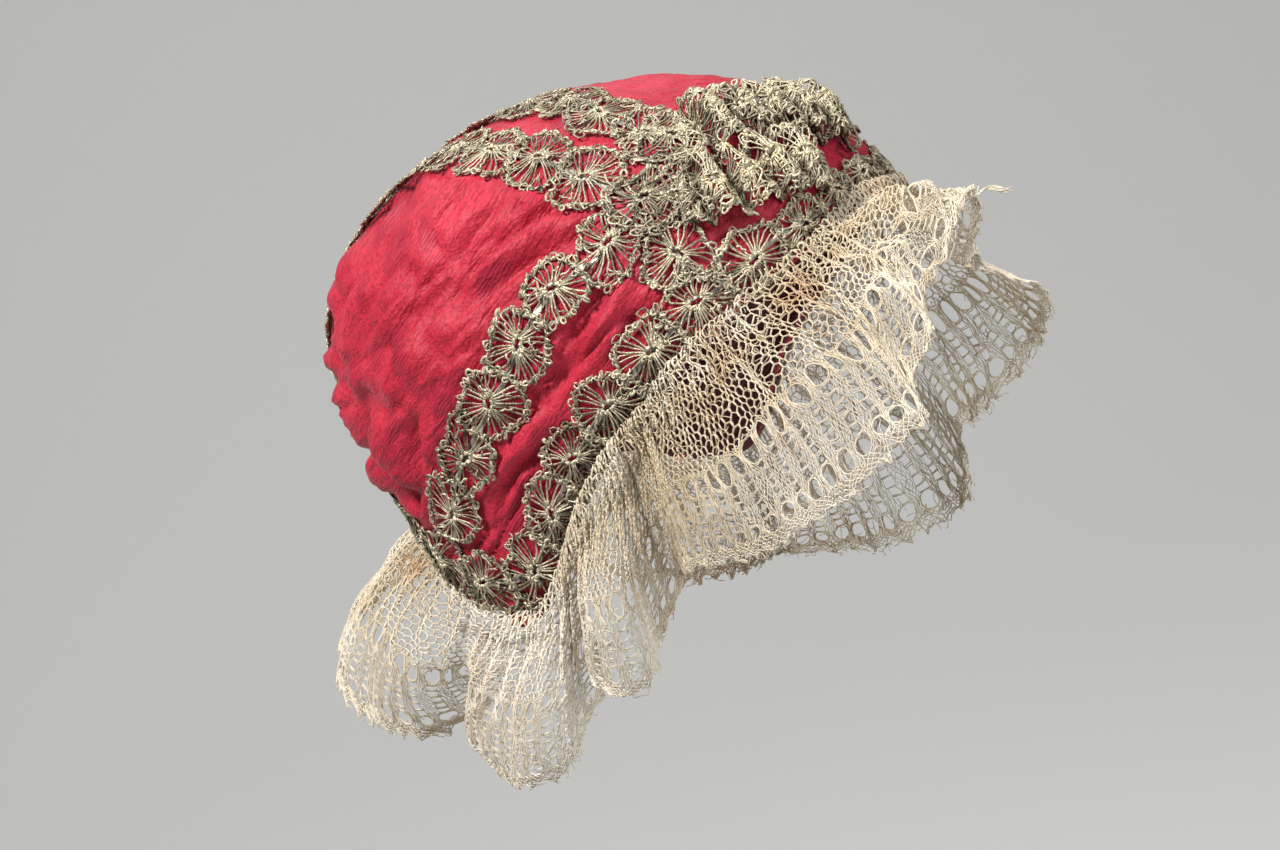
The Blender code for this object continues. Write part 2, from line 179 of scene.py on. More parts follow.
def roundSpline(places, knots, values, whole):
    # smooth closed curve through the values, of the given length once round
    x = np.asarray(places, float) % whole
    k = np.concatenate([knots[-2:] - whole, knots, knots[:2] + whole])
    v = np.concatenate([values[-2:], values, values[:2]])
    slope = np.zeros_like(v)
    more = (1,) * (v.ndim - 1)
    slope[1:-1] = (v[2:] - v[:-2]) / (k[2:] - k[:-2]).reshape((-1,) + more)
    i = np.clip(np.searchsorted(k, x, side="right") - 1, 1, len(k) - 3)
    h = (k[i + 1] - k[i]).reshape(x.shape + more)
    u = (x - k[i]).reshape(x.shape + more) / h
    near = (2 * u**3 - 3 * u**2 + 1) * v[i] + (u**3 - 2 * u**2 + u) * h * slope[i]
    return near + (-2 * u**3 + 3 * u**2) * v[i + 1] + (u**3 - u**2) * h * slope[i + 1]


def evenTable(table):
    # a table that is the same on the right and the left
    rows = np.array(table, float)
    back = rows[-2:0:-1]
    return np.concatenate([rows[:, 0], 360 - back[:, 0]]), np.concatenate([rows[:, 1:], back[:, 1:]])


def lattice(ix, iy, seed):
    h = np.sin(ix * 127.1 + iy * 311.7 + seed * 74.7) * 43758.5453
    return h - np.floor(h)


def softNoise(x, y, seed):
    # smooth value noise from -1 to 1, one cell to a unit
    x, y = np.broadcast_arrays(np.asarray(x, float), np.asarray(y, float))
    ix, iy = np.floor(x), np.floor(y)
    fx, fy = smoothStep(x - ix), smoothStep(y - iy)
    low = lattice(ix, iy, seed) * (1 - fx) + lattice(ix + 1, iy, seed) * fx
    high = lattice(ix, iy + 1, seed) * (1 - fx) + lattice(ix + 1, iy + 1, seed) * fx
    return (low * (1 - fy) + high * fy) * 2 - 1


def betweenCorners(grid, f, g):
    # what a grid holds at places f down its rows and g along them
    i, j = f.astype(int), g.astype(int)
    u, v = (f - i)[..., None], (g - j)[..., None]
    return ((1 - u) * ((1 - v) * grid[i, j] + v * grid[i, j + 1])
            + u * ((1 - v) * grid[i + 1, j] + v * grid[i + 1, j + 1]))


def evenly(line, count):
    along = np.concatenate([[0], np.cumsum(np.linalg.norm(np.diff(line, axis=0), axis=1))])
    at = np.linspace(0, along[-1], count)
    return np.stack([np.interp(at, along, line[:, k]) for k in range(line.shape[1])], axis=1)


def openSpline(points, steps):
    ends = np.concatenate([[2 * points[0] - points[1]], points, [2 * points[-1] - points[-2]]])
    u = (np.arange(steps) / steps)[:, None]
    fine = []
    for i in range(1, len(ends) - 2):
        a, b, c, d = ends[i - 1:i + 3]
        fine.append(0.5 * (2 * b + (c - a) * u + (2 * a - 5 * b + 4 * c - d) * u**2
                           + (3 * b - a - 3 * c + d) * u**3))
    return np.concatenate(fine + [points[-1:]])


# shared mesh helpers
def addObject(name, data):
    made = bpy.data.objects.new(name, data)
    bpy.context.scene.collection.objects.link(made)
    return made


def meshPiece(name, points, quads, triangles=(), smooth=True, tone=None, uv=None):
    # an object from arrays of corners, with its place in its mesh
    quads = np.asarray(quads, np.int64).reshape(-1, 4)
    triangles = np.asarray(triangles, np.int64).reshape(-1, 3)
    mesh = bpy.data.meshes.new(name)
    mesh.vertices.add(len(points))
    mesh.vertices.foreach_set("co", (np.asarray(points) * millimetre).astype(np.float32).ravel())
    loops = np.concatenate([quads.ravel(), triangles.ravel()])
    mesh.loops.add(len(loops))
    mesh.loops.foreach_set("vertex_index", loops.astype(np.int32))
    starts = np.concatenate([np.arange(len(quads)) * 4, len(quads) * 4 + np.arange(len(triangles)) * 3])
    mesh.polygons.add(len(starts))
    mesh.polygons.foreach_set("loop_start", starts.astype(np.int32))
    mesh.polygons.foreach_set("use_smooth", np.full(len(starts), smooth))
    if tone is not None:
        layer = mesh.attributes.new("tone", "FLOAT", "POINT")
        layer.data.foreach_set("value", np.asarray(tone, np.float32).ravel())
    if uv is not None:
        layer = mesh.uv_layers.new(name="cloth")
        layer.data.foreach_set("uv", np.asarray(uv, np.float32)[loops].ravel())
    mesh.update()
    mesh.validate()
    return addObject(name, mesh)


def finishPiece(piece, node=None):
    if node:
        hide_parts(node)
    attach(piece, "root")


class Threads:
    # gathers three-sided threads until they become one mesh
    sides = 3

    def __init__(self):
        self.points, self.quads, self.caps, self.tones, self.count = [], [], [], [], 0

    def add(self, paths, outs, radius, tone=0.0, loop=False):
        # paths and outs are (threads, points, 3), outs point away from the cloth
        paths, outs = np.asarray(paths, float), np.asarray(outs, float)
        many, long, sides = paths.shape[0], paths.shape[1], self.sides
        if loop:
            along = np.roll(paths, -1, axis=1) - np.roll(paths, 1, axis=1)
        else:
            along = np.gradient(paths, axis=1)
        along = unitRows(along)
        side = unitRows(np.cross(along, outs))
        up = np.cross(side, along)
        radius = np.broadcast_to(np.asarray(radius, float), (many, long))[..., None]
        turn = 2 * math.pi * (np.arange(sides) + 0.25) / sides
        rings = [paths + radius * (math.cos(t) * side + math.sin(t) * up) for t in turn]
        rings = np.stack(rings, axis=2)
        index = self.count + np.arange(many * long * sides).reshape(many, long, sides)
        after = np.roll(index, -1, axis=2)
        if loop:
            low, lowAfter = index, after
            high, highAfter = np.roll(index, -1, axis=1), np.roll(after, -1, axis=1)
        else:
            low, lowAfter, high, highAfter = index[:, :-1], after[:, :-1], index[:, 1:], after[:, 1:]
            self.caps += [index[:, 0], index[:, -1][:, ::-1]]
        self.quads.append(np.stack([low, high, highAfter, lowAfter], axis=-1).reshape(-1, 4))
        self.points.append(rings.reshape(-1, 3))
        self.tones.append(np.broadcast_to(np.asarray(tone, float), (many, long)).repeat(sides).ravel())
        self.count += many * long * sides

    def piece(self, name):
        points, quads, caps = (np.concatenate(rows) for rows in (self.points, self.quads, self.caps))
        print(name, "triangles", 2 * len(quads) + len(caps))
        return meshPiece(name, points, quads, caps, tone=np.concatenate(self.tones))


# silk cap
sectionTurns, sectionRows = evenTable(sections)


def sectionLine(turn, count):
    wide, rim, rimHeight, full, low = roundSpline([turn], sectionTurns, sectionRows, 360)[0]
    high = capSizes["topHeight"] - low
    domed = rimHeight > low
    reach = math.acos((rimHeight - low) / high) if domed else math.pi / 2
    angle = np.linspace(0, reach, capSizes["domeSteps"])
    if domed:
        wide = rim / math.sin(reach) ** full
    radius = wide * np.sin(angle) ** full
    height = low + high * np.cos(angle)
    if not domed:
        k = np.linspace(0, 1, capSizes["tuckSteps"])[1:]
        radius = np.concatenate([radius, wide - (wide - rim) * k ** capSizes["tuckPower"]])
        height = np.concatenate([height, low - (low - rimHeight) * k])
    back = capSizes["topBack"] * np.clip((height - low) / high, 0, 1) ** capSizes["topShift"]
    a = math.radians(turn)
    return evenly(np.stack([-math.sin(a) * radius, -math.cos(a) * radius + back, height], 1), count)


def pullHeight(turn, down):
    total = np.zeros(np.broadcast(turn, down).shape)
    for at, share, across, along, slant, height in pulls:
        side = (turn - at - slant * (down - share) + 180) % 360 - 180
        total += height * bell(side / across) * bell((down - share) / along)
    atRim, atTop = (1 - down) / capSizes["rimFade"], down / capSizes["topFade"]
    return total * np.minimum(1, atRim) * np.minimum(1, atTop)


def seamDown(turn):
    # share down of the seam between the crown piece and the side pieces
    side = np.where(turn < 180, turn, 360 - turn)
    places = np.array(seamLineRight[:14])
    return np.where((side > 5) & (side < 164), np.interp(side, places[:, 0], places[:, 1]), 2.0)


# the ways ahead, up and out on the left side piece, which the right one mirrors
sideWays = ((-0.451, -0.846, -0.285), (-0.337, -0.134, 0.932), (0.826, -0.516, 0.225))


def sidePlace(x, y, z, slant):
    # flat place on a side piece: across and along a direction that rises towards the forehead
    ahead, up, out = (a * np.abs(x) + b * y + c * z for a, b, c in sideWays)
    s, c = math.sin(math.radians(slant)), math.cos(math.radians(slant))
    return up * c - ahead * s, (ahead * c + up * s + 0.7 * out) / 1.1


def silkWave(a, b, sway, size, seed):
    # a soft wave, or with a sharpness round tops with creases between them
    across, along, lean, high, *sharp = size
    wave = softNoise(a / across + lean * sway, b / along, seed)
    return high * (np.abs(wave) ** sharp[0] - sharp[1] if sharp else wave)


def fromBands(x, y, z):
    # how far the silk is from the nearest sewn band
    places = np.stack([x, y, z], -1).reshape(-1, 3)
    near = np.full(len(places), 99.0)
    for line in sewnLines:
        for start in range(0, len(places), 4000):
            apart = places[start:start + 4000, None] - line[None]
            near[start:start + 4000] = np.minimum(near[start:start + 4000], (apart**2).sum(-1).min(1) ** 0.5)
    return near.reshape(x.shape)


def silkRelief(turn, down, x, y, z):
    # long slanting drag folds and puckers of the old silk, other ones over the crown
    sizes = foldSizes
    a, b = sidePlace(x, y, z, sizes["dragSlant"])
    a = a + np.where(turn < 180, 0.0, 500.0)
    sway = silkWave(a, b, 0.0, sizes["sway"], 3)
    patch = 1.0 + silkWave(a + 3 * sizes["patch"][0], b, 0.0, sizes["patch"], 13)
    patch = np.clip(patch, *sizes["patchRange"])
    sides = silkWave(a, b, sway, sizes["broad"], 11) + patch * silkWave(a, b, sway, sizes["folds"], 5)
    sides = sizes["tallest"] * np.tanh(sides / sizes["tallest"])
    sides = sides + patch * silkWave(a, b, sway, sizes["puckers"], 7)
    sides = sides + silkWave(a, b, sway, sizes["smallPuckers"], 9) + silkWave(a, b, sway, sizes["grain"], 21)
    over = silkWave(x, y, y, sizes["crownBroad"], 15)
    over = over + silkWave(x, y - x * sizes["crownCross"], y, sizes["crownCreases"], 16)
    over = over + silkWave(x, y, 0.0, sizes["crownGrain"], 19)
    crown = np.clip((seamDown(turn) - down) / sizes["crownFade"], 0, 1)
    total = (sides * (1 - crown) + over * crown) * np.clip(down / capSizes["topFade"], 0.15, 1)
    total = total + sizes["level"]
    # the sewn bands hold the silk down
    near = fromBands(x, y, z)
    above = smoothStep((near - sizes["heldAbove"]) / sizes["holdFade"])
    below = smoothStep((near - sizes["heldBelow"]) / sizes["holdFade"])
    low = np.clip(total, sizes["deepest"], 0) * (sizes["heldShare"] + (1 - sizes["heldShare"]) * below)
    return np.maximum(total, 0) * above + low - sizes["level"]


def makeCapGrid(columns, rows, relief):
    turns = np.arange(columns) * 360 / columns
    lines = np.array([sectionLine(t, rows + 1) for t in turns])
    middle = np.array([0.0, capSizes["topBack"], 0.0])
    down = np.arange(rows + 1)[None, :] / rows
    out = unitRows(lines - middle)
    lines = lines + out * pullHeight(turns[:, None], down)[..., None]
    if not relief:
        return lines - seat, None
    bumps = silkRelief(turns[:, None], down, lines[..., 0], lines[..., 1], lines[..., 2])
    # how far the inside stays back, so that no crease comes through it
    lowest = bumps
    for _ in range(2):
        lowest = np.minimum(lowest, np.minimum(np.roll(lowest, 1, axis=0), np.roll(lowest, -1, axis=0)))
        lowest[:, 1:-1] = np.minimum(lowest[:, 1:-1], np.minimum(lowest[:, :-2], lowest[:, 2:]))
    return lines + out * bumps[..., None] - seat, out * (bumps - lowest)[..., None]


def gridNormals(points):
    # outward normals of a grid closed round its first direction
    around = np.roll(points, -1, axis=0) - np.roll(points, 1, axis=0)
    down = np.gradient(points, axis=1)
    return unitRows(np.cross(around, down))


def capLine(places):
    out = [sectionLine(turn, 201)[round(down * 200)] for turn, down in places]
    return openSpline(np.array(out), capSizes["lineSteps"]) - seat


def rimLine():
    knots, rows = evenTable(rimLift)
    out = []
    for turn in range(0, 360, capSizes["rimTurnStep"]):
        line = sectionLine(turn, 401)
        length = np.linalg.norm(np.diff(line, axis=0), axis=1).sum()
        up = roundSpline([turn], knots, rows[:, 0], 360)[0]
        out.append(line[round(400 * (1 - up / length))] - seat)
    points = np.array(out)
    knots = np.arange(len(points), dtype=float)
    fine = roundSpline(np.arange(0, len(points), 1 / capSizes["lineSteps"]), knots, points, len(points))
    return np.concatenate([fine, fine[:1]])


rimBandLine = rimLine()
sewnLines = [(capLine(line) + seat)[::6] for line in
             (seamLineRight, seamLineLeft, sideLineRight, sideLineLeft, linkLineRight, linkLineLeft)]
sewnLines.append(rimBandLine[::6] + seat)
capOuter, capSlack = makeCapGrid(capSizes["columns"], capSizes["rows"], True)
capNormals = gridNormals(capOuter)
capNormals[:, 0] = (0, 0, 1)


# how the damask lies: over the crown as an arc, turned a little, and on the sides rising to the forehead
clothSizes = {
    "crownRadius": 70,
    "crownMiddle": 2,
    "crownTurn": (0.87, 0.5),
    "sideSlant": 57,
    "sideAway": 300,
    "uvScale": 0.01,
}


def clothPlace(points, turn, down):
    # flat place on the silk: one piece over the crown and down the back, and one on each side
    x, y, z = np.moveaxis(points + seat, -1, 0)
    arc = clothSizes["crownRadius"] * np.arctan2(y - capSizes["topBack"], z - clothSizes["crownMiddle"])
    c, s = clothSizes["crownTurn"]
    top = np.stack([x * c + arc * s, arc * c - x * s], -1)
    a, b = sidePlace(x, y, z, clothSizes["sideSlant"])
    sides = np.stack([np.sign(x) * clothSizes["sideAway"] + a, b], -1)
    onSide = (down > seamDown(turn))[..., None]
    return np.where(onSide, sides, top)


def wallFaces(first, columns, rows):
    # faces of a wall whose top point comes first and whose columns of points follow
    i = np.arange(columns)
    here = first + 1 + i * rows
    beside = first + 1 + (i + 1) % columns * rows
    a, b = here[:, None] + np.arange(rows - 1), beside[:, None] + np.arange(rows - 1)
    quads = np.stack([a, a + 1, b + 1, b], -1).reshape(-1, 4)
    return quads, np.stack([np.full(columns, first), here, beside], -1), here + rows - 1


def buildCap():
    skip = capSizes["columns"] // capSizes["insideColumns"]
    drop = capSizes["rows"] // capSizes["insideRows"]
    inner = (capOuter - capSlack - capNormals * capSizes["wall"])[::skip, ::drop]
    points, turns, downs, quads, triangles, rims = [], [], [], [], [], []
    first = 0
    for wall, way in ((capOuter, 1), (inner, -1)):
        columns, rows = wall.shape[0], wall.shape[1] - 1
        points += [wall[:, 0].mean(axis=0)[None], wall[:, 1:].reshape(-1, 3)]
        turns += [np.zeros(1), np.repeat(np.arange(columns) * 360 / columns, rows)]
        downs += [np.zeros(1), np.tile((np.arange(rows) + 1) / rows, columns)]
        wallQuads, top, rim = wallFaces(first, columns, rows)
        quads.append(wallQuads[:, ::way])
        triangles.append(top[:, ::way])
        rims.append(rim)
        first += 1 + columns * rows
    # the rim joins the fine outside to the coarser inside
    outRim, inRim = rims
    k = np.arange(len(inRim))
    for s in range(skip):
        here, there = (outRim[(k * skip + s + more) % len(outRim)] for more in (0, 1))
        hold = inRim if s < skip / 2 else np.roll(inRim, -1)
        triangles.append(np.stack([here, hold, there], -1))
    middle = outRim[(k * skip + math.ceil(skip / 2)) % len(outRim)]
    triangles.append(np.stack([middle, inRim, np.roll(inRim, -1)], -1))
    points = np.concatenate(points)
    flat = clothPlace(points, np.concatenate(turns), np.concatenate(downs))
    # the tone marks the inside wall, which the silk's finish paints much darker: the silk's duller back,
    # with painted shade for the shadowed inside of the cap
    inside = np.arange(len(points)) > capOuter.shape[0] * (capOuter.shape[1] - 1)
    print("silkCap triangles", 2 * sum(len(q) for q in quads) + sum(len(t) for t in triangles))
    return meshPiece("silkCap", points, np.concatenate(quads), np.concatenate(triangles), tone=inside,
                     uv=flat * clothSizes["uvScale"])


silkCap = buildCap()
finishPiece(silkCap, "silk_cap")

# the cap without its small folds carries the bands
plainColumns, plainRows = capSizes["insideColumns"], capSizes["insideRows"]
plainGrid, _ = makeCapGrid(plainColumns, plainRows, False)
here = np.arange(plainColumns * (plainRows + 1)).reshape(plainColumns, -1)
there = np.roll(here, -1, axis=0)
plainFaces = np.stack([here[:, :-1], here[:, 1:], there[:, 1:], there[:, :-1]], -1).reshape(-1, 4)
capTree = BVHTree.FromPolygons([Vector(p) for p in plainGrid.reshape(-1, 3)], plainFaces.tolist())
print("silk cap made")


# bands of silver rosettes: one rosette to each pitch, on a grid that follows the cap to the band's edges
bandSizes = {
    "pitch": 15.8,
    "half": 8.6,
    "wire": 0.245,
    "lift": 0.08,
    "thickness": 0.85,
    "edgeReach": 13,
    "acrossStep": 1.0,
    "alongStep": 0.8,
    "pleatSlant": 0.42,
    "pleatStart": 6.0,
    "pleatEnd": 7.0,
    # painted light on the standing pleats: their crests are painted lighter and their valleys darker
    "paintedCrestLight": 0.4,
}
# loose threads beside the rim band, crowded round the turn of the tips
webSizes = {
    "perMillimetre": 2.9,
    "tipTurn": 88,
    "tipSpread": 34,
    "least": 0.25,
    "acrossShare": (0.1, 1.1),
    "halfLength": (1.2, 2.8),
    "thread": 0.22,
}
# flat strip through the rosettes, with its steps to each rosette
stripSizes = {
    "half": 0.6,
    "thick": 0.14,
    "rise": 0.75,
    "sway": 0.3,
    "twist": 0.16,
    "steps": 14,
}
# one rosette: its oval as shares of pitch and width, the slot in its middle and how many of each wire
rosetteSizes = {
    "spokes": 14,
    "alongShare": (0.53, 0.61),
    "acrossShare": (0.9, 1.02),
    "outlinePower": 2.4,
    "dent": 0.16,
    "slotAlong": 1.75,
    "slotAcross": 0.75,
    "spokeReach": (0.84, 0.95),
    "eyelet": (0.55, 0.95),
    "eyeletSteps": 7,
    "windingSteps": 54,
    "slotSteps": 30,
    "looseEnds": 11,
    "knots": 7,
}
# a spoke goes out to its eyelet and comes back: share of the way, and how far it is to the side
spokeWay = np.array([0, 0.2, 0.42, 0.64, 0.84, 1.0, 1.0, 0.84, 0.64, 0.42, 0.2, 0])
spokeSide = np.array([-0.25, -0.4, -0.6, -0.8, -1, -0.6, 0.6, 1, 0.8, 0.6, 0.4, 0.25])
capMiddle = np.array([0.0, -14.0, 8.0]) - seat


def nearestOnCap(places):
    at, out = [], []
    for p in places:
        hit, normal, _, _ = capTree.find_nearest(Vector(p))
        if normal.dot(hit - Vector(capMiddle)) < 0:
            normal = -normal
        at.append(hit)
        out.append(normal)
    return np.array(at), np.array(out)


class BandMap:
    # carries flat (along, across, height) places onto the cap along a line
    def __init__(self, line, pleats):
        self.line = np.linalg.norm(np.diff(line, axis=0), axis=1).sum()
        self.bunched, self.count, self.tall = pleats or (0.0, 0, 0.0)
        self.flat = self.count * bandSizes["pitch"]
        self.length = self.line - self.bunched + self.flat
        rows = max(4, math.ceil(self.line / bandSizes["alongStep"]) + 1)
        at, out = nearestOnCap(evenly(line, rows))
        side = unitRows(np.cross(out, np.gradient(at, axis=0)))
        across = np.arange(-bandSizes["edgeReach"], bandSizes["edgeReach"] + 1) * bandSizes["acrossStep"]
        grid = at[:, None] + side[:, None] * across[None, :, None]
        places, outs = nearestOnCap(grid.reshape(-1, 3))
        self.at, self.out = places.reshape(grid.shape), outs.reshape(grid.shape)
        for _ in range(3):
            self.out[1:-1] = unitRows(self.out[:-2] + self.out[1:-1] + self.out[2:])
            self.out[:, 1:-1] = unitRows(self.out[:, :-2] + self.out[:, 1:-1] + self.out[:, 2:])

    def pleatPhase(self, s, a):
        # how much a place is in the bunched stretch, and where it is on a pleat as an angle
        inside = np.clip((self.flat - s) / bandSizes["pleatEnd"], 0, 1)
        inside = inside * np.clip((s + 2) / bandSizes["pleatStart"], 0, 1) * (self.count > 0)
        return inside, 2 * math.pi * (s + bandSizes["pleatSlant"] * a) / bandSizes["pitch"]

    def crest(self, s, a):
        # from -1 in a valley to 1 on a crest of the pleats
        inside, phase = self.pleatPhase(s, a)
        return inside * np.cos(phase)

    def standPleats(self, s, a):
        # pleats stand between the rosettes' middles, slant across the band and lean this way and that
        inside, phase = self.pleatPhase(s, a)
        uneven = 1 + 0.22 * softNoise(s / bandSizes["pitch"] + 0.5, 0.5, 83)
        tall = self.tall * uneven * (1 - 0.30 * (a / 9) ** 2)
        rise = inside * tall * (0.5 + 0.5 * np.cos(phase))
        packed = self.flat / self.bunched
        slope = -inside * tall * 0.5 * np.sin(phase) * 2 * math.pi / bandSizes["pitch"] * packed
        s = np.where(s < self.flat, s / packed, s - self.flat + self.bunched)
        s = s + 0.15 * rise * softNoise(phase / 6.3, 1.5, 85) + 0.35 * inside * np.sin(a / 2.7 + s)
        return s, rise, np.arctan(slope)

    def __call__(self, s, a, h):
        s, a, h = np.broadcast_arrays(np.asarray(s, float), a, h)
        rise, lean = np.zeros_like(s), np.zeros_like(s)
        if self.count:
            s, rise, lean = self.standPleats(s, a)
        last, wide = len(self.at) - 1, 2 * bandSizes["edgeReach"]
        f = np.clip(s / self.line * last, 0, last - 0.001)
        g = np.clip(a / bandSizes["acrossStep"] + bandSizes["edgeReach"], 0, wide - 0.001)
        place, normal = betweenCorners(self.at, f, g), unitRows(betweenCorners(self.out, f, g))
        i, j = f.astype(int), g.astype(int)
        ahead = unitRows(self.at[i + 1, j] - self.at[i, j])
        tipped = unitRows(normal * np.cos(lean)[..., None] - ahead * np.sin(lean)[..., None])
        return place + normal * rise[..., None] + tipped * h[..., None], tipped


class Rosette:
    # the wires of one rosette in flat millimetres: points, share of the wire's radius, tone, closed
    def __init__(self, rng, wide, pitch):
        self.rng, self.wires = rng, []
        self.count = rosetteSizes["spokes"] + rng.integers(-1, 2)
        self.turnBy = rng.uniform(0, 2 * math.pi)
        self.along = pitch * rng.uniform(*rosetteSizes["alongShare"])
        self.across = wide * rng.uniform(*rosetteSizes["acrossShare"])
        self.dents = rng.uniform(0.0, rosetteSizes["dent"], 4)
        self.phases = rng.uniform(0, 2 * math.pi, 4)
        # the slot that the strip goes through lies a little off the middle
        self.slotTurn = rng.uniform(-0.6, 0.6)
        self.slotX, self.slotY = rng.uniform(-1.0, 1.0), rng.uniform(-0.9, 0.9)
        self.spokes()
        self.eyelets()
        self.windings()
        self.slotRim()
        self.looseEnds()
        self.knots()

    def add(self, x, y, high, thick, tone, closed):
        self.wires.append((np.stack([x, y, high], 1), thick, tone, closed))

    def outline(self, t):
        # an oval, a little out of shape, that meets its neighbours
        power = rosetteSizes["outlinePower"]
        x, y = np.abs(np.cos(t) / self.along), np.abs(np.sin(t) / self.across)
        r = (x**power + y**power) ** (-1 / power)
        for k in range(4):
            r = r * (1 + self.dents[k] * 0.6 * np.sin((k + 2) * t + self.phases[k]))
        return r

    def slot(self, t, grow):
        c, s = math.cos(self.slotTurn), math.sin(self.slotTurn)
        x = rosetteSizes["slotAlong"] * grow * np.cos(t - self.slotTurn)
        y = rosetteSizes["slotAcross"] * grow * np.sin(t - self.slotTurn)
        return self.slotX + c * x - s * y, self.slotY + s * x + c * y

    def spokes(self):
        # long loops of wire, crooked from wear, that end in eyelets
        rng, u = self.rng, spokeWay
        for k in range(self.count):
            t = self.turnBy + 2 * math.pi * (k + rng.uniform(-0.30, 0.30)) / self.count
            reach = self.outline(t) * rng.uniform(*rosetteSizes["spokeReach"])
            x0, y0 = self.slot(t, rng.uniform(0.9, 1.3))
            x1, y1 = reach * math.cos(t), reach * math.sin(t)
            length = math.hypot(x1 - x0, y1 - y0)
            apart = spokeSide * rng.uniform(0.55, 0.95) + rng.uniform(-0.9, 0.9) * u * (1 - u) * 2
            apart = apart + rng.normal(0, 0.07, len(u))
            x = x0 + (x1 - x0) * u - (y1 - y0) / length * apart
            y = y0 + (y1 - y0) * u + (x1 - x0) / length * apart
            high = bell(u / 0.25) + 0.40 + 0.45 * bell((u - 1) / 0.25)
            high = high + rng.uniform(-0.15, 0.55) * np.sin(math.pi * np.minimum(1, u * 1.2))
            high = high + rng.normal(0, 0.07, len(u))
            self.add(x, y, high, rng.uniform(0.85, 1.2), rng.uniform(-0.3, 0.3), False)

    def eyelets(self):
        # eyelets close together make the scalloped edge, some of them flattened or loose
        rng, steps = self.rng, rosetteSizes["eyeletSteps"]
        ring = np.arange(steps) * 2 * math.pi / steps
        for k in range(2 * self.count):
            odd = k % 2
            t = self.turnBy + 2 * math.pi * (k + rng.uniform(-0.2, 0.2)) / (2 * self.count)
            wide = rng.uniform(*rosetteSizes["eyelet"]) * (1.15 if odd else 0.85)
            middle = self.outline(t) * rng.uniform(0.95, 1.0) - (0.0 if odd else 0.35)
            lean, flatten = rng.uniform(0, math.pi), rng.uniform(0.3, 1.1)
            loose = 1 + rng.normal(0, 0.16, steps)
            near, far = wide * 1.1 * loose * np.cos(ring), wide * flatten * loose * np.sin(ring)
            x = middle * math.cos(t) + near * math.cos(lean) - far * math.sin(lean)
            y = middle * math.sin(t) + near * math.sin(lean) + far * math.cos(lean)
            high = 0.85 + 0.35 * np.sin(ring + rng.uniform(0, 6.3)) + rng.uniform(-0.2, 0.25)
            self.add(x, y, high, rng.uniform(0.95, 1.6), rng.uniform(-0.4, 0.4), True)

    def windings(self):
        # two wires wind through the eyelets
        steps = rosetteSizes["windingSteps"]
        t = np.arange(steps) * 2 * math.pi / steps
        for strand in range(2):
            wave = (17 + strand) * t + strand * 2.1 + self.phases[strand]
            away = self.outline(t) * (0.92 - 0.04 * strand) + 0.5 * np.cos(wave)
            away = away + self.rng.normal(0, 0.2, steps)
            self.add(away * np.cos(t), away * np.sin(t), 0.75 + 0.5 * np.sin(wave + 0.8), 1.2, -0.1, True)

    def slotRim(self):
        # the raised, knotted rim of the slot
        t = np.arange(rosetteSizes["slotSteps"]) * 2 * math.pi / rosetteSizes["slotSteps"]
        for strand in range(2):
            wave = (7 + 2 * strand) * t + self.phases[strand]
            x, y = self.slot(t, 1.15 + 0.28 * strand + 0.22 * np.cos(wave))
            self.add(x, y, 1.25 + 0.45 * np.sin(wave) - 0.3 * strand, 1.3, 0.1, True)

    def looseEnds(self):
        rng = self.rng
        for _ in range(rosetteSizes["looseEnds"]):
            t = rng.uniform(0, 2 * math.pi)
            away = self.outline(t) * rng.uniform(0.35, 0.9)
            aim = t + rng.uniform(-1.2, 1.2)
            way = rng.uniform(0.9, 2.0) * np.linspace(-1, 1, 5)
            x = away * math.cos(t) + way * math.cos(aim) + rng.normal(0, 0.22, 5)
            y = away * math.sin(t) + way * math.sin(aim) + rng.normal(0, 0.22, 5)
            high = 0.8 + rng.uniform(0, 0.5, 5)
            self.add(x, y, high, rng.uniform(0.8, 1.2), rng.uniform(-0.5, 0.5), False)

    def knots(self):
        rng, way = self.rng, np.array([-0.6, 0, 0.6])
        for k in range(rosetteSizes["knots"]):
            t = rng.uniform(0, 2 * math.pi)
            x, y = self.slot(t, rng.uniform(1.1, 2.0))
            high = np.array([0.9, 1.5 + 0.3 * math.sin(k), 0.95])
            self.add(x + way * math.cos(t + 1.3), y + way * math.sin(t + 1.3), high, rng.uniform(1.4, 2.0),
                     rng.uniform(-0.3, 0.4), False)


def rosetteThreads(threads, carry, middles, wideAt, pitch, rng):
    # the wires of all the rosettes, those with as many points together
    grouped = {}
    for s in middles:
        tilt, proud = rng.uniform(-0.09, 0.09), rng.uniform(0, 0.3)
        for points, thick, tone, closed in Rosette(rng, wideAt(s), pitch).wires:
            grouped.setdefault((len(points), closed), []).append((s, points, thick, tone, tilt, proud))
    for (_, closed), rows in grouped.items():
        s, thick, tone, tilt, proud = (np.array([r[k] for r in rows])[:, None] for k in (0, 2, 3, 4, 5))
        local = np.array([r[1] for r in rows])
        x, y, z = s + local[..., 0], local[..., 1], local[..., 2]
        high = bandSizes["lift"] + z * bandSizes["thickness"] + proud + np.maximum(-0.5, tilt * y)
        at, out = carry(x, y, high)
        # the tone is each wire's own random tone plus painted light: higher points of the wires are painted
        # lighter and lower ones darker, and the pleats' crests are painted lighter and their valleys darker
        tone = np.clip(z / 1.8 + tone, 0, 1.2) + bandSizes["paintedCrestLight"] * carry.crest(x, y)
        threads.add(at, out, thick * bandSizes["wire"] * rng.uniform(0.85, 1.2, high.shape), tone, closed)


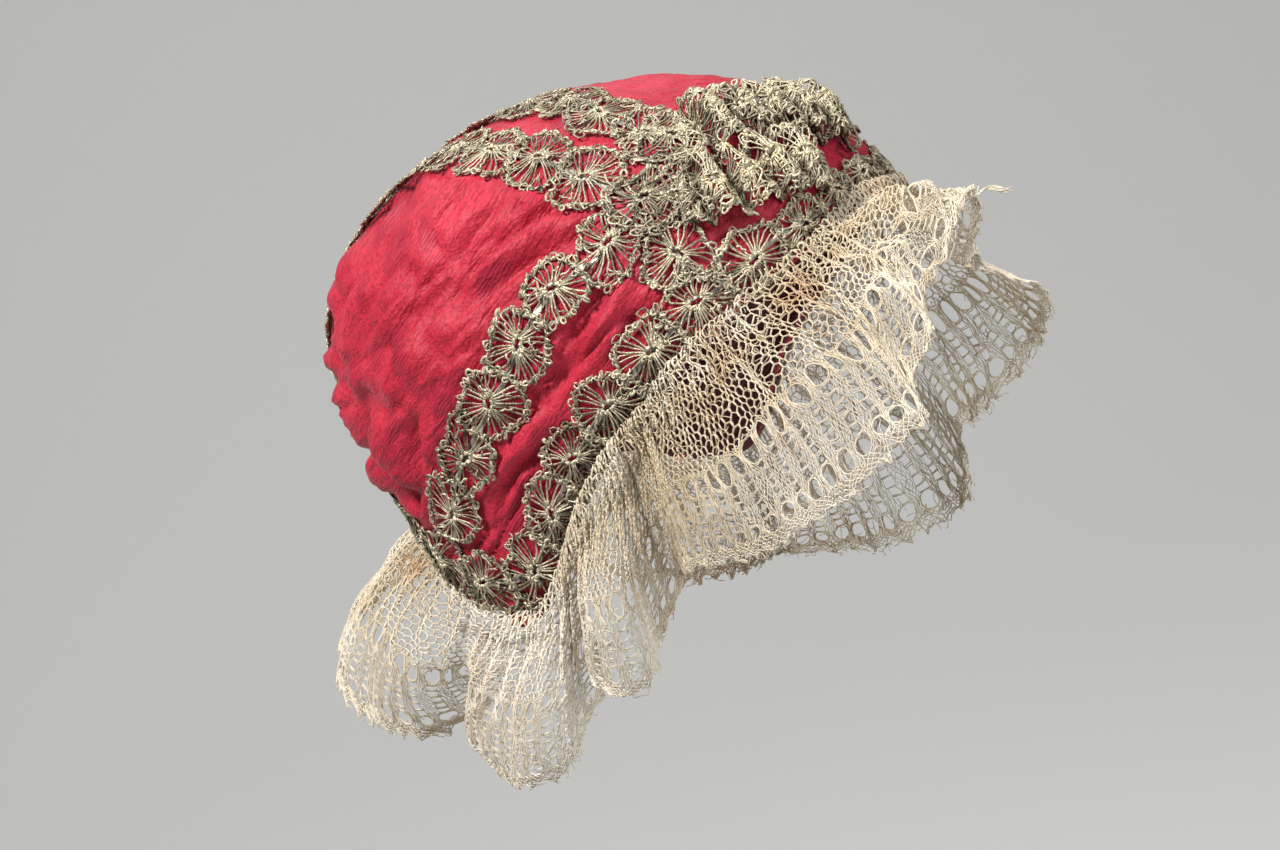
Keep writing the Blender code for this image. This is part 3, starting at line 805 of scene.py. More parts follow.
def webThreads(threads, carry, wideAt, rng):
    # grey web of loose flat threads beside the rosettes of the rim, thickest from the temples to the tips
    many = round(carry.line * webSizes["perMillimetre"])
    share = np.linspace(0, 1, 400)
    side = np.minimum(share, 1 - share) * 360
    growth = np.cumsum(webSizes["least"] + bell((side - webSizes["tipTurn"]) / webSizes["tipSpread"]))
    s = np.interp(rng.uniform(0, growth[-1], many), growth, share) * carry.line
    a = np.array([wideAt(x) for x in s]) * rng.uniform(*webSizes["acrossShare"], many)
    aim = rng.uniform(0, 2 * math.pi, (many, 1))
    way = np.linspace(-1, 1, 5)[None]
    bend = rng.uniform(-0.8, 0.8, (many, 1)) * way**2
    long = rng.uniform(*webSizes["halfLength"], (many, 1)) * way
    x = s[:, None] + long * np.cos(aim) - bend * np.sin(aim)
    y = a[:, None] + long * np.sin(aim) + bend * np.cos(aim)
    high = 0.45 + rng.uniform(0, 0.5, (many, 1)) + 0.15 * np.cos(way * 3)
    at, out = carry(np.clip(x, 0, carry.line), np.clip(y, -12, 12), high)
    threads.add(at, out, webSizes["thread"], -0.1)


def silverStrip(name, carry, many, pitch):
    # flat silver strip, under at the middles and over at the waists
    steps = many * stripSizes["steps"] + 1
    s = np.linspace(0.5, carry.length - 0.5, steps)
    step = np.where(s < carry.flat, s / bandSizes["pitch"], (s - carry.flat) / pitch)
    high = bandSizes["lift"] + 0.05 + stripSizes["rise"] * np.maximum(0, np.cos(2 * math.pi * step)) ** 3
    sway, twist = stripSizes["sway"] * np.sin(s / 7.3), stripSizes["twist"] * np.sin(s / 5.1)
    half, thick = stripSizes["half"], stripSizes["thick"]
    corners = [carry(s, across + sway, high + lift + twist * across)[0]
               for across, lift in ((-half, 0), (half, 0), (half, thick), (-half, thick))]
    index = np.arange(steps * 4).reshape(steps, 4)
    after = np.roll(index, -1, axis=1)
    quads = np.stack([index[:-1], after[:-1], after[1:], index[1:]], -1).reshape(-1, 4)
    quads = np.concatenate([quads, index[:1, ::-1], index[-1:]])
    return meshPiece(name, np.stack(corners, 1).reshape(-1, 3), quads, smooth=False)


def silverBand(name, line, seed, share, pleats, web):
    # rosettes along a line, with the flat strip that threads their middles
    rng = np.random.default_rng(seed)
    carry = BandMap(line, pleats)
    threads = Threads()
    plain = max(1, round((carry.line - carry.bunched) / bandSizes["pitch"]))
    pitch = (carry.line - carry.bunched) / plain
    middles = [(k + 0.5) * bandSizes["pitch"] for k in range(carry.count)]
    middles += [carry.flat + (k + 0.5) * pitch for k in range(plain)]
    # between the pleats' rosettes lie more, so that the bunched part is dense
    doubles = [(k + rng.uniform(0.9, 1.1)) * bandSizes["pitch"] for k in range(carry.count)]

    def wideAt(s):
        return bandSizes["half"] * (share(s / carry.length) if share else 1.0)

    rosetteThreads(threads, carry, middles + doubles, wideAt, pitch, rng)
    if web:
        webThreads(threads, carry, wideAt, rng)
    return threads.piece(name), silverStrip(name + "Strip", carry, len(middles), pitch)


rimKnots, rimRows = evenTable(rimLift)


def rimShare(share):
    return float(roundSpline([share * 360], rimKnots, rimRows[:, 1], 360)[0])


# name, line, solid it stands for, share of the width by length, standing pleats
bandPlan = (
    ("rimRosettes", rimBandLine, "rim_band", rimShare, None),
    ("seamRosettesRight", capLine(seamLineRight), "seam_band_right", None, pleatsRight),
    ("seamRosettesLeft", capLine(seamLineLeft), "seam_band_left", None, pleatsLeft),
    ("sideRosettesRight", capLine(sideLineRight), "side_band_right", None, None),
    ("sideRosettesLeft", capLine(sideLineLeft), "side_band_left", None, None),
    ("linkRosetteRight", capLine(linkLineRight), "link_band_right", None, None),
    ("linkRosetteLeft", capLine(linkLineLeft), "link_band_left", None, None),
)
silverPieces, stripPieces = [], []
for number, (name, line, node, share, pleats) in enumerate(bandPlan):
    rosettes, strip = silverBand(name, line, 40 + number, share, pleats, node == "rim_band")
    finishPiece(rosettes, node)
    finishPiece(strip)
    silverPieces.append(rosettes)
    stripPieces.append(strip)
print("silver bands made")


# lace frill
frillSizes = {
    "deep": 50.0,
    "overlap": 4.5,
    "cells": 148,
    "panels": 4,
    "gridStep": 0.8,
    "gridRows": 72,
    "gridPast": 1.08,
    "gatherHeight": 0.9,
    "gatherPitch": 9.5,
    "edgeRipple": 1.1,
    "ripplePitch": 31,
    "headingDepth": 2.6,
    "headingLift": 1.5,
    "bowLift": 0.5,
    "pleatPitch": 4.7,
    "pleatHeight": 0.85,
    "rollHeight": 3.4,
    "slip": 1.1,
}
# the part of the frill that lies on the rim band: share of the overlap, and how proud it stands
lapShares = np.array([1.0, 0.75, 0.5, 0.25, 0.08])
lapProud = np.array([1.3, 2.6, 3.3, 3.6, 3.6])
# share of the overlap by turn from the face, and how much the heading rolls over by turn
lapByTurn = ((0, 25, 60, 85, 110, 150, 180), (0.5, 0.65, 1.0, 0.65, 0.35, 0.3, 0.3))
rollByTurn = ((0, 20, 42, 52, 95, 112, 360), (0.1, 0.4, 0.6, 1.0, 1.0, 0.2, 0.1))


class FrillMap:
    # carries flat (along the edge, down from the gathers, height) places onto the hanging frill
    def __init__(self):
        edge, bulge = self.freeEdge()
        lap, gather, down, outs = self.gatheredRim()
        rolled = np.interp(self.turns, *rollByTurn)[:, None]
        start = gather + down * frillSizes["headingDepth"] * 0.4
        start = start + outs * frillSizes["headingLift"] * (1 - rolled)
        v = np.arange(frillSizes["gridRows"] + 1) / frillSizes["gridRows"] * frillSizes["gridPast"]
        chord = edge - start
        reach = np.linalg.norm(chord, axis=1)[:, None, None]
        chord = unitRows(chord)
        outward = unitRows((gather + seat) * np.array([1, 1, 0])) + np.array([0, 0, frillSizes["bowLift"]])
        bow = unitRows(outward - chord * (outward * chord).sum(1, keepdims=True))[:, None]
        u = self.places[:, None]
        pleats = np.sin(u * 2 * math.pi / frillSizes["pleatPitch"] + 2.5 * softNoise(u / 13, 0, 31))
        total = 4 * bulge[:, None] * v * (1 - v) + self.ripples(u, v) + self.creases(u, v, pleats, rolled)
        grid = start[:, None] + chord[:, None] * reach * v[:, None] + bow * total[..., None]
        beside = unitRows(np.roll(grid, -1, axis=0) - np.roll(grid, 1, axis=0))
        grid = grid + beside * (frillSizes["slip"] * softNoise(u / 9, v * 3, 59) * v)[..., None]
        lapWave = (pleats * 0.5 + 0.4 * softNoise(u / 4, 0.3, 71)) * np.array([1, 1, 1, 1, 0.5])
        grid = np.concatenate([lap + bow * lapWave[..., None], grid], axis=1)
        for _ in range(8):
            grid[:, 2:12] = (grid[:, 1:11] + 2 * grid[:, 2:12] + grid[:, 3:13]) / 4
        self.depths = np.concatenate([-lapShares * frillSizes["overlap"], v * frillSizes["deep"]])
        around = np.roll(grid, -1, axis=0) - np.roll(grid, 1, axis=0)
        normals = unitRows(np.cross(np.gradient(grid, axis=1), around))
        self.at, self.normals = (np.concatenate([g, g[:1]]) for g in (grid, normals))

    def freeEdge(self):
        # places of the free edge, evenly spaced, with their turns and how far each stretch bows outwards
        rows = np.array(edgePlaces, float)
        many = len(rows)
        knots = np.arange(many, dtype=float)
        fine = np.arange(0, many, 1 / 24)
        edge = roundSpline(fine, knots, rows[:, 1:4], many)
        along = np.concatenate([[0], np.cumsum(np.linalg.norm(np.roll(edge, -1, axis=0) - edge, axis=1))])
        self.length = along[-1]
        self.columns = round(self.length / frillSizes["gridStep"])
        self.places = np.arange(self.columns) * self.length / self.columns
        share = np.interp(self.places, along, np.append(fine, many))
        self.turns = np.interp(share, np.append(knots, many), np.append(rows[:, 0], 360))
        spread = roundSpline(share, knots, rows[:, 1:], many)
        return spread[:, :3] - seat, spread[:, 3]

    def gatheredRim(self):
        # the strip that lies on the rim, where the frill is gathered, and which way is down and out there
        lap, gather, down, outs = [], [], [], []
        for turn, part in zip(self.turns, np.interp(np.minimum(self.turns, 360 - self.turns), *lapByTurn)):
            line = sectionLine(turn, 61)
            beside = sectionLine(turn + 1, 2)[-1] - sectionLine(turn - 1, 2)[-1]
            outward = np.cross(beside, line[-1] - line[-3])
            outward = outward / np.linalg.norm(outward)
            up = lapShares * frillSizes["overlap"] * part / np.linalg.norm(line[-1] - line[-2])
            low = np.floor(up).astype(int)
            place = line[60 - low] + (line[59 - low] - line[60 - low]) * (up - low)[:, None]
            lap.append(place - seat + outward * (lapProud * (0.4 + 0.6 * part))[:, None])
            gather.append(line[-1] - seat)
            outs.append(outward)
            down.append(np.cross(outward, beside) / np.linalg.norm(beside))
        return np.array(lap), np.array(gather), np.array(down), np.array(outs)

    def ripples(self, u, v):
        once = 2 * math.pi * u / self.length
        gathers = np.sin(round(self.length / frillSizes["gatherPitch"]) * once)
        edge = np.sin(round(self.length / frillSizes["ripplePitch"]) * once + 1.3)
        grown = np.sin(math.pi * np.minimum(1, 1.6 * v))
        return frillSizes["gatherHeight"] * gathers * grown + frillSizes["edgeRipple"] * edge * v**2

    def creases(self, u, v, pleats, rolled):
        # smaller life of the old lace: pleats and a roll by the gathers, creases, a heap and a wavy edge
        pleatHeight = frillSizes["pleatHeight"] * bell((v - 0.05) / 0.16) * np.minimum(1, v / 0.03)
        roll = frillSizes["rollHeight"] * rolled * bell(v / 0.11) * (1 + 0.3 * softNoise(u / 6, 0.5, 45))
        crease = 1.3 * softNoise(u / 11, v * 2.2, 41) + 0.7 * softNoise(u / 5, v * 5, 43)
        brow = np.minimum(np.abs(self.turns - 4), np.abs(self.turns - 364))[:, None]
        heap = 3.6 * softNoise(u / 7.5, v * 4.5, 47) + 1.6 * softNoise(u / 3.1, v * 9, 49)
        heap = heap * bell(brow / 20) * np.minimum(1, v / 0.25)
        edgeWave = 1.5 * softNoise(u / 8.3, 0.5, 53) * v**3
        return pleats * pleatHeight + crease * np.minimum(1, v / 0.2) + heap + edgeWave + roll

    def turnAt(self, u):
        return np.interp(u % self.length, self.places, self.turns)

    def __call__(self, u, w, h=0.0):
        f = (np.asarray(u, float) % self.length) / self.length * self.columns
        g = np.interp(np.asarray(w, float), self.depths, np.arange(len(self.depths)))
        f = np.clip(f, 0, self.columns - 1e-6)
        g = np.clip(g, 0, len(self.depths) - 1.0001)
        normal = unitRows(betweenCorners(self.normals, f, g))
        lift = np.broadcast_to(np.asarray(h, float), normal.shape[:-1])[..., None]
        return betweenCorners(self.at, f, g) + normal * lift, normal


frillMap = FrillMap()
print("frill edge", round(frillMap.length, 1))

# half width of a rib down its length: from the net, between the large holes, beside the ladder, to the edge
ribShape = ((23.4, 2.50), (24.3, 1.70), (25.8, 0.74), (27.6, 0.52), (29.4, 0.80), (30.8, 1.36), (32.5, 1.50),
            (41.2, 1.54), (42.6, 1.10), (44.7, 0.55), (46.6, 1.15), (47.9, 2.30))
laceSizes = {
    "netCell": 2.29,
    "netRows": 15,
    "netTop": -4.2,
    "netLow": 24.4,
    "netThread": 0.275,
    "ribThreads": 8,
    "ribSteps": 26,
    "ribThread": 0.135,
    "rungs": (30.9, 33.3, 35.7, 38.1, 40.5, 42.6),
    "rungMargin": 1.3,
    "rungThread": 0.18,
    "largeHole": (27.6, 0.62, 3.15),
    "borderHole": (44.7, 0.66, 2.1),
    "holeSteps": 14,
    "holeThread": 0.25,
    "edge": 47.2,
    "edgeThreads": 5,
    "edgePitch": 0.6,
    "edgeThread": 0.25,
    "neatFrom": (112, 12),
    "neatTo": (262, 15),
    "picotTop": 2.3,
    "neatPicot": (1.8, 3.0),
    "mattedPicot": (0.1, 1.5),
    "picotHalf": (0.95, 0.45),
    "picotThread": 0.2,
    "tuftThreads": 9,
    "tuftReach": (4.4, -7.0, 1.2),
    "tuftThread": 0.16,
}
# matted fine fibres: how many in a panel and more in the bunched fall, and where they lie down the lace
fluffSizes = {
    "many": 1500,
    "inFall": 900,
    "fallTurns": (68, 112),
    "byGathers": (-4.4, 7),
    "gatherShare": 0.5,
    "byEdge": (46.5, 50.3),
    "edgeShare": 0.68,
    "inPatches": (4, 47),
    "step": 1.3,
    "limits": (-4.8, 51.5),
    "thread": 0.13,
}


# how the old threads have moved along the edge and down: size along and down, how far, which noise
driftAlong = ((3.4, 3.4, 0.55, 61), (1.5, 1.5, 0.30, 63), (9, 14, 0.9, 73))
driftDown = ((3.4, 3.4, 0.55, 67), (1.5, 1.5, 0.30, 69))
gatherAlong, gatherDown = ((1.9, 1.6, 1.1, 33),), ((1.7, 1.9, 1.1, 35),)


def waves(u, w, rows):
    return sum(far * softNoise(u / along, w / down, seed) for along, down, far, seed in rows)


def drift(u, w):
    # how far the old threads have moved from their true places, most by the gathers
    loose = bell((w + 1) / 4.5)
    sag = 1.3 * np.sin(2 * math.pi * u / 61) * np.clip((w - 8) / 15, 0, 1) * np.clip((47 - w) / 8, 0, 1)
    return (waves(u, w, driftAlong) + loose * waves(u, w, gatherAlong),
            waves(u, w, driftDown) + loose * waves(u, w, gatherDown) + sag)


def hang(threads, u, w, radius, h=0.0, tone=0.0, loop=False):
    # threads given flat, hung on the frill, thicker here and thinner there, stained below the gathers
    du, dw = drift(u, w)
    at, out = frillMap(u + du, w + dw, h)
    worn = 1 + 0.28 * softNoise(u / 0.9 + w / 1.3, w / 1.1 - u / 2.1, 75)
    stain = (0.22 + 0.45 * softNoise(u / 14, w / 8, 37)) * bell((w - 5) / 6)
    threads.add(at, out, radius * worn, tone + stain, loop)


def netThreads(threads, u0, u1):
    # hexagon net: zigzag rows joined by short upright threads
    across = round((u1 - u0) / laceSizes["netCell"])
    step = (u1 - u0) / across
    rows = laceSizes["netRows"]
    rowPitch = (laceSizes["netLow"] - laceSizes["netTop"]) / (rows - 1)
    rise = rowPitch / 6
    places = np.arange(2 * across + 1)
    u = u0 + places * step / 2
    for j in range(rows):
        up = (places + j) % 2
        middle = laceSizes["netTop"] + j * rowPitch
        zigzag = middle + (2 * up - 1) * rise
        hang(threads, u[None], zigzag[None], laceSizes["netThread"], 0.08 * (up - 0.5), 0.3)
        if j < rows - 1:
            low = places[:-1][(places[:-1] + j) % 2 == 1]
            line = np.array([middle + rise, middle + rowPitch / 2 + 0.1, middle + rowPitch - rise])
            hang(threads, np.repeat(u[low][:, None], 3, 1), np.repeat(line[None], len(low), 0),
                 laceSizes["netThread"] * 1.1, 0.0, 0.3)


def ribThreads(threads, ribs, rng):
    # ribs of cloth stitch between the holes, threads swaying to and fro
    shape = np.array(ribShape)
    steps, many = laceSizes["ribSteps"], laceSizes["ribThreads"]
    w = np.linspace(shape[0, 0], shape[-1, 0], steps + 1)
    half = np.interp(w, shape[:, 0], shape[:, 1])
    for m in range(many):
        sway = np.where((np.arange(steps + 1) + m) % 2, 1, -1)
        u = ribs[:, None] + half * (2 * m / (many - 1) - 1) + 0.84 * half / (many - 1) * sway
        u = u + rng.normal(0, 0.11, u.shape)
        high = 0.14 * sway + rng.normal(0, 0.12, u.shape)
        hang(threads, u, np.broadcast_to(w, u.shape), laceSizes["ribThread"], high,
             rng.uniform(-0.2, 0.3, (len(ribs), 1)))


def ladderThreads(threads, ribs, pitch, rng):
    # rungs between the ribs leave ladders of small holes
    rungs = np.array(laceSizes["rungs"])
    size = (len(ribs), len(rungs), 3)
    margin = laceSizes["rungMargin"]
    u = ribs[:, None, None] + margin + np.linspace(0, pitch - 2 * margin, 3)
    w = rungs[:, None] + np.array([0, 0.12, 0])
    u, w = np.broadcast_to(u, size).reshape(-1, 3), np.broadcast_to(w, size).reshape(-1, 3)
    for shift in (-0.16, 0.16):
        hang(threads, u, w + shift + rng.uniform(-0.15, 0.15, (len(w), 1)), laceSizes["rungThread"])


def holeThreads(threads, ribs, pitch):
    # outlines of the large holes and of the openings by the border
    t = np.arange(laceSizes["holeSteps"]) * 2 * math.pi / laceSizes["holeSteps"]
    for middle, margin, tall in (laceSizes["largeHole"], laceSizes["borderHole"]):
        u = ribs[:, None] + pitch / 2 + (pitch / 2 - margin) * np.cos(t)
        w = np.broadcast_to(middle + tall * np.sin(t), u.shape)
        hang(threads, u, w, laceSizes["holeThread"], 0.1, 0.0, True)


def edgeThreads(threads, ribs, pitch, u0, u1, rng):
    # edge braid and pointed picots, long at the nape and matted elsewhere
    many = len(ribs) * 7 + 1
    u = np.linspace(u0, u1, many)
    turn = frillMap.turnAt(u)
    (first, rise), (last, fall) = laceSizes["neatFrom"], laceSizes["neatTo"]
    neat = np.clip((turn - first) / rise, 0, 1) * np.clip((last - turn) / fall, 0, 1)
    for j in range(laceSizes["edgeThreads"]):
        sway = np.where((np.arange(many) + j) % 2, 1, -1)
        wave = (0.35 + 0.35 * neat) * np.cos(2 * math.pi * u / pitch)
        wave = wave + (1 - neat) * 0.8 * softNoise(u / 3.7, j / 3, 77)
        w = laceSizes["edge"] + j * laceSizes["edgePitch"] + 0.26 * sway + wave * (0.4 + 0.2 * j)
        hang(threads, u[None], w[None], laceSizes["edgeThread"], 0.12 * sway[None], 0.2)
    t = np.linspace(0, 1, 7)
    bow = np.sin(math.pi * t)[None]
    tidy = np.interp(ribs, u, neat)[:, None]
    each = (len(ribs), 1)
    long = tidy * rng.uniform(*laceSizes["neatPicot"], each)
    long = long + (1 - tidy) * rng.uniform(*laceSizes["mattedPicot"], each)
    lean = rng.uniform(-0.7, 0.7, each) * (2 - tidy)
    for wide in laceSizes["picotHalf"]:
        across = ribs[:, None] + wide * np.cos(math.pi * t)[None] * (1 - 0.75 * bow) + lean * bow
        down = laceSizes["edge"] + laceSizes["picotTop"] + long * bow ** 0.9
        hang(threads, across, down, laceSizes["picotThread"], 0.0, 0.1)


def fluffThreads(threads, u0, u1, rng, many, matted=0.0):
    # matted fine fibres over the gathers, along the edge and in patches of the old lace
    kind = rng.uniform(matted, 1, many)
    u = rng.uniform(u0, u1, many)
    byGathers = rng.uniform(*fluffSizes["byGathers"], many) + rng.uniform(0, 1, many) ** 3 * 14
    byEdge = rng.uniform(*fluffSizes["byEdge"], many)
    inPatches = rng.uniform(*fluffSizes["inPatches"], many)
    atTop, topOrEdge = kind < fluffSizes["gatherShare"], kind < fluffSizes["edgeShare"]
    w = np.where(atTop, byGathers, np.where(topOrEdge, byEdge, inPatches))
    turn = frillMap.turnAt(u)
    brow = np.clip(1.4 - np.minimum(np.abs(turn - 5), np.abs(turn - 365)) / 18, 0, 1)
    ear = np.clip(1.3 - np.minimum(np.abs(turn - 74), np.abs(turn - 286)) / 26, 0, 1)
    keep = topOrEdge | (softNoise(u / 11, w / 9, 79) > 0.15 - brow - 0.6 * ear - matted)
    u, w = u[keep], w[keep]
    left = len(u)
    aim = rng.uniform(0, 2 * math.pi, left)
    aim = np.where(w < 8, math.pi / 2 + 1.2 * np.sin(aim), aim)
    bend, long = rng.uniform(-1.2, 1.2, left), rng.uniform(0.6, 1.3, left)
    a, b, h = [u], [w], [rng.uniform(-0.3, 0.3, left)]
    for k in range(3):
        a.append(a[-1] + long * fluffSizes["step"] * np.cos(aim + bend * k / 1.5))
        b.append(b[-1] + long * fluffSizes["step"] * np.sin(aim + bend * k / 1.5))
        h.append(rng.uniform(-0.35, 0.75, left))
    a, b, h = (np.stack(row, 1) for row in (a, b, h))
    hang(threads, a, np.clip(b, *fluffSizes["limits"]), fluffSizes["thread"], h, 0.6)


def tuftThreads(threads, rng):
    # a tuft of frayed threads that sticks out from the corner of the frill over the forehead
    t = np.linspace(0, 1, 9)[None, :, None]
    many = laceSizes["tuftThreads"]
    start, out = frillMap(np.zeros(1), np.full(1, laceSizes["edge"] + 1.0))
    reach = np.array(laceSizes["tuftReach"]) * rng.uniform(0.8, 1.05, (many, 1))
    side = np.array([0.2, 0.3, 1.0])
    twist = rng.uniform(0, 6.3, (many, 1, 1)) + 5.5 * t
    path = start[None] + reach[:, None] * t + side * (1.3 * np.sin(3.4 * t) - 0.8 * t)
    path = path + (0.28 + 0.75 * t**4) * (np.cos(twist) * side + np.sin(twist) * np.array([0.85, 0.5, -0.2]))
    threads.add(path, np.broadcast_to(out[:, None], path.shape), laceSizes["tuftThread"], 0.4)


def lacePanel(number):
    threads = Threads()
    rng = np.random.default_rng(90 + number)
    cells = frillSizes["cells"] // frillSizes["panels"]
    pitch = frillMap.length / frillSizes["cells"]
    u0, u1 = number * cells * pitch, (number + 1) * cells * pitch
    ribs = (number * cells + np.arange(cells)) * pitch
    netThreads(threads, u0, u1)
    ribThreads(threads, ribs, rng)
    ladderThreads(threads, ribs, pitch, rng)
    holeThreads(threads, ribs, pitch)
    edgeThreads(threads, ribs, pitch, u0, u1, rng)
    fluffThreads(threads, u0, u1, rng, fluffSizes["many"])
    if number == 0:
        tuftThreads(threads, rng)
    # the bunched fall behind the near ear is matted through
    fall0, fall1 = np.interp(fluffSizes["fallTurns"], frillMap.turns, frillMap.places)
    low, high = max(u0, fall0), min(u1, fall1)
    if high > low:
        many = round(fluffSizes["inFall"] * (high - low) / (fall1 - fall0))
        fluffThreads(threads, low, high, rng, many, 0.7)
    return threads.piece("laceFrill" + "ABCD"[number])


lacePanels = [lacePanel(k) for k in range(frillSizes["panels"])]
for panel in lacePanels:
    finishPiece(panel, "lace_frill")
print("lace frill made")


# materials
class NodeMaker:
    # short ways to add nodes to a material or a node group
    def __init__(self, tree):
        self.nodes, self.links = tree.nodes, tree.links

    def give(self, socket, value):
        if hasattr(value, "links"):
            self.links.new(value, socket)
        elif socket.type == "RGBA":
            socket.default_value = (*value, 1)
        else:
            socket.default_value = value

    def add(self, kind, inputs=(), **settings):
        node = self.nodes.new("ShaderNode" + kind)
        for key, value in settings.items():
            setattr(node, key, value)
        for key, value in dict(inputs).items():
            self.give(node.inputs[key], value)
        return node

    def objectPlace(self):
        return self.add("TexCoord").outputs["Object"]

    def tone(self):
        return self.add("Attribute", attribute_name="tone").outputs["Fac"]

    def noise(self, place, scale, detail=3.0, rough=0.55):
        inputs = {"Vector": place, "Scale": scale, "Detail": detail, "Roughness": rough}
        return self.add("TexNoise", inputs).outputs["Fac"]

    def ramp(self, value, stops):
        node = self.add("ValToRGB", {"Fac": value})
        elements = node.color_ramp.elements
        while len(elements) < len(stops):
            elements.new(0.5)
        for element, (at, colour) in zip(elements, stops):
            element.position = at
            element.color = (*colour, 1)
        return node.outputs["Color"]

    def mix(self, factor, a, b, kind="MIX"):
        return self.add("Mix", {0: factor, 6: a, 7: b}, data_type="RGBA", blend_type=kind).outputs[2]

    def maths(self, kind, *values):
        return self.add("Math", enumerate(values), operation=kind).outputs[0]

    def group(self, tree, inputs):
        return self.add("Group", inputs, node_tree=tree).outputs

    def wave(self, place, way, inputs):
        inputs = {"Vector": place, "Detail": 2.0, **inputs}
        return self.add("TexWave", inputs, bands_direction=way).outputs["Color"]

    def stretch(self, place, way):
        return self.add("VectorMath", {0: place, 1: way}, operation="MULTIPLY").outputs[0]

    def bump(self, height, strength, distance, before=None):
        inputs = {"Height": height, "Strength": strength, "Distance": distance}
        if before is not None:
            inputs["Normal"] = before
        return self.add("Bump", inputs).outputs["Normal"]


class Finish(NodeMaker):
    # a material with its Principled shader
    def __init__(self, name, values):
        self.material = bpy.data.materials.new(name)
        self.material.use_nodes = True
        super().__init__(self.material.node_tree)
        self.shader = self.nodes["Principled BSDF"]
        self.set(values)

    def set(self, values):
        for key, value in values.items():
            self.give(self.shader.inputs[key], value)


def makeGroup(name, inputs, outputs):
    group = bpy.data.node_groups.new(name, "ShaderNodeTree")
    for way, sockets in (("INPUT", inputs), ("OUTPUT", outputs)):
        for label, kind in sockets:
            group.interface.new_socket(name=label, in_out=way, socket_type="NodeSocket" + kind)
    given, result = group.nodes.new("NodeGroupInput").outputs, group.nodes.new("NodeGroupOutput").inputs
    return group, NodeMaker(group), given, result


def threadGrainGroup():
    # fine grain of a thread: a value for its colour, and the normal that goes with it
    inputs = (("Scale", "Float"), ("Strength", "Float"), ("Distance", "Float"))
    group, make, given, result = makeGroup("threadGrain", inputs, (("Grain", "Float"), ("Normal", "Vector")))
    grain = make.noise(make.objectPlace(), given["Scale"], detail=2)
    make.give(result["Grain"], grain)
    make.give(result["Normal"], make.bump(grain, given["Strength"], given["Distance"]))
    return group


def tonedGroup():
    # a mask moved by the tone that each thread carries
    inputs = (("Mask", "Float"), ("Share", "Float"))
    group, make, given, result = makeGroup("toned", inputs, (("Mask", "Float"),))
    moved = make.maths("MULTIPLY", make.tone(), given["Share"])
    make.give(result["Mask"], make.maths("ADD", given["Mask"], moved))
    return group


threadGrain, toned = threadGrainGroup(), tonedGroup()

# how each finish sets its shader, and its colours: stops of a ramp, or one colour
linenFinish = {
    "Roughness": 0.85,
    "Specular IOR Level": 0.25,
    "Sheen Weight": 0.15,
    "Subsurface Weight": 0.15,
    "Subsurface Radius": (0.003, 0.002, 0.0015),
    "Subsurface Scale": 0.5,
}
linenColours = {
    "ground": ((0.32, (0.63, 0.51, 0.345)), (0.50, (0.80, 0.705, 0.545)), (0.68, (0.90, 0.83, 0.705))),
    "stainMask": ((0.58, (0, 0, 0)), (0.78, (1, 1, 1))),
    "stain": (0.55, 0.31, 0.14),
    "fibre": ((0.3, (0.62, 0.57, 0.5)), (0.7, (1, 1, 1))),
}
silverColours = ((0.42, (0.070, 0.054, 0.032)), (0.57, (0.30, 0.258, 0.175)), (0.74, (0.70, 0.635, 0.475)),
                 (0.88, (0.78, 0.655, 0.40)))
stripColours = ((0.35, (0.20, 0.18, 0.14)), (0.6, (0.52, 0.50, 0.43)))
silkFinish = {
    "Roughness": 0.54,
    "Sheen Weight": 0.12,
    "Sheen Roughness": 0.4,
    "Sheen Tint": (1.0, 0.35, 0.4),
    "Specular IOR Level": 0.27,
}
silkColours = {
    "ground": ((0.30, (0.36, 0.012, 0.032)), (0.50, (0.49, 0.019, 0.046)), (0.70, (0.61, 0.034, 0.070))),
    "figureMask": ((0.30, (1, 1, 1)), (0.35, (0, 0, 0))),
    "figure": (0.33, 0.014, 0.042),
    "grain": ((0.38, (0.52, 0.42, 0.44)), (0.60, (1.0, 1.0, 1.0))),
    # the back of the silk inside the cap, painted much darker as painted shade of the shadowed inside
    "inside": (0.085, 0.012, 0.018),
}


def linenMaterial():
    made = Finish("agedLinen", linenFinish)
    place = made.objectPlace()
    ground = made.ramp(made.noise(place, scale=24, detail=4), linenColours["ground"])
    stain = made.noise(place, scale=34, detail=5, rough=0.65)
    stain = made.group(toned, {"Mask": stain, "Share": 0.22})["Mask"]
    stain = made.maths("MULTIPLY", made.ramp(stain, linenColours["stainMask"]), 0.7)
    colour = made.mix(stain, ground, linenColours["stain"])
    thread = made.group(threadGrain, {"Scale": 900, "Strength": 0.5, "Distance": 0.0002})
    colour = made.mix(0.35, colour, made.ramp(thread["Grain"], linenColours["fibre"]), "MULTIPLY")
    made.set({"Base Color": colour, "Normal": thread["Normal"]})
    return made.material


def silverMaterial():
    made = Finish("tarnishedSilver", {"Metallic": 0.6})
    place = made.objectPlace()
    cloud = made.noise(place, scale=420, detail=5, rough=0.75)
    patch = made.noise(place, scale=40, detail=3)
    thread = made.group(threadGrain, {"Scale": 1500, "Strength": 0.9, "Distance": 0.0003})
    # the colour mask mixes real tarnish in clouds and patches with the coiled wire's fine grain, whose
    # bright and dark specks also stand in for painted glints
    worn = made.maths("MULTIPLY", cloud, 0.45)
    for mask, share in ((thread["Grain"], 0.32), (patch, 0.22)):
        worn = made.maths("ADD", worn, made.maths("MULTIPLY", mask, share))
    # the tone adds each wire's own random tone and painted light: lighter wire tops and pleat crests, darker
    # low places and pleat valleys
    worn = made.group(toned, {"Mask": worn, "Share": 0.24})["Mask"]
    rough = made.add("MapRange", {"Value": cloud, "To Min": 0.65, "To Max": 0.36}).outputs["Result"]
    made.set({"Base Color": made.ramp(worn, silverColours), "Roughness": rough, "Normal": thread["Normal"]})
    return made.material


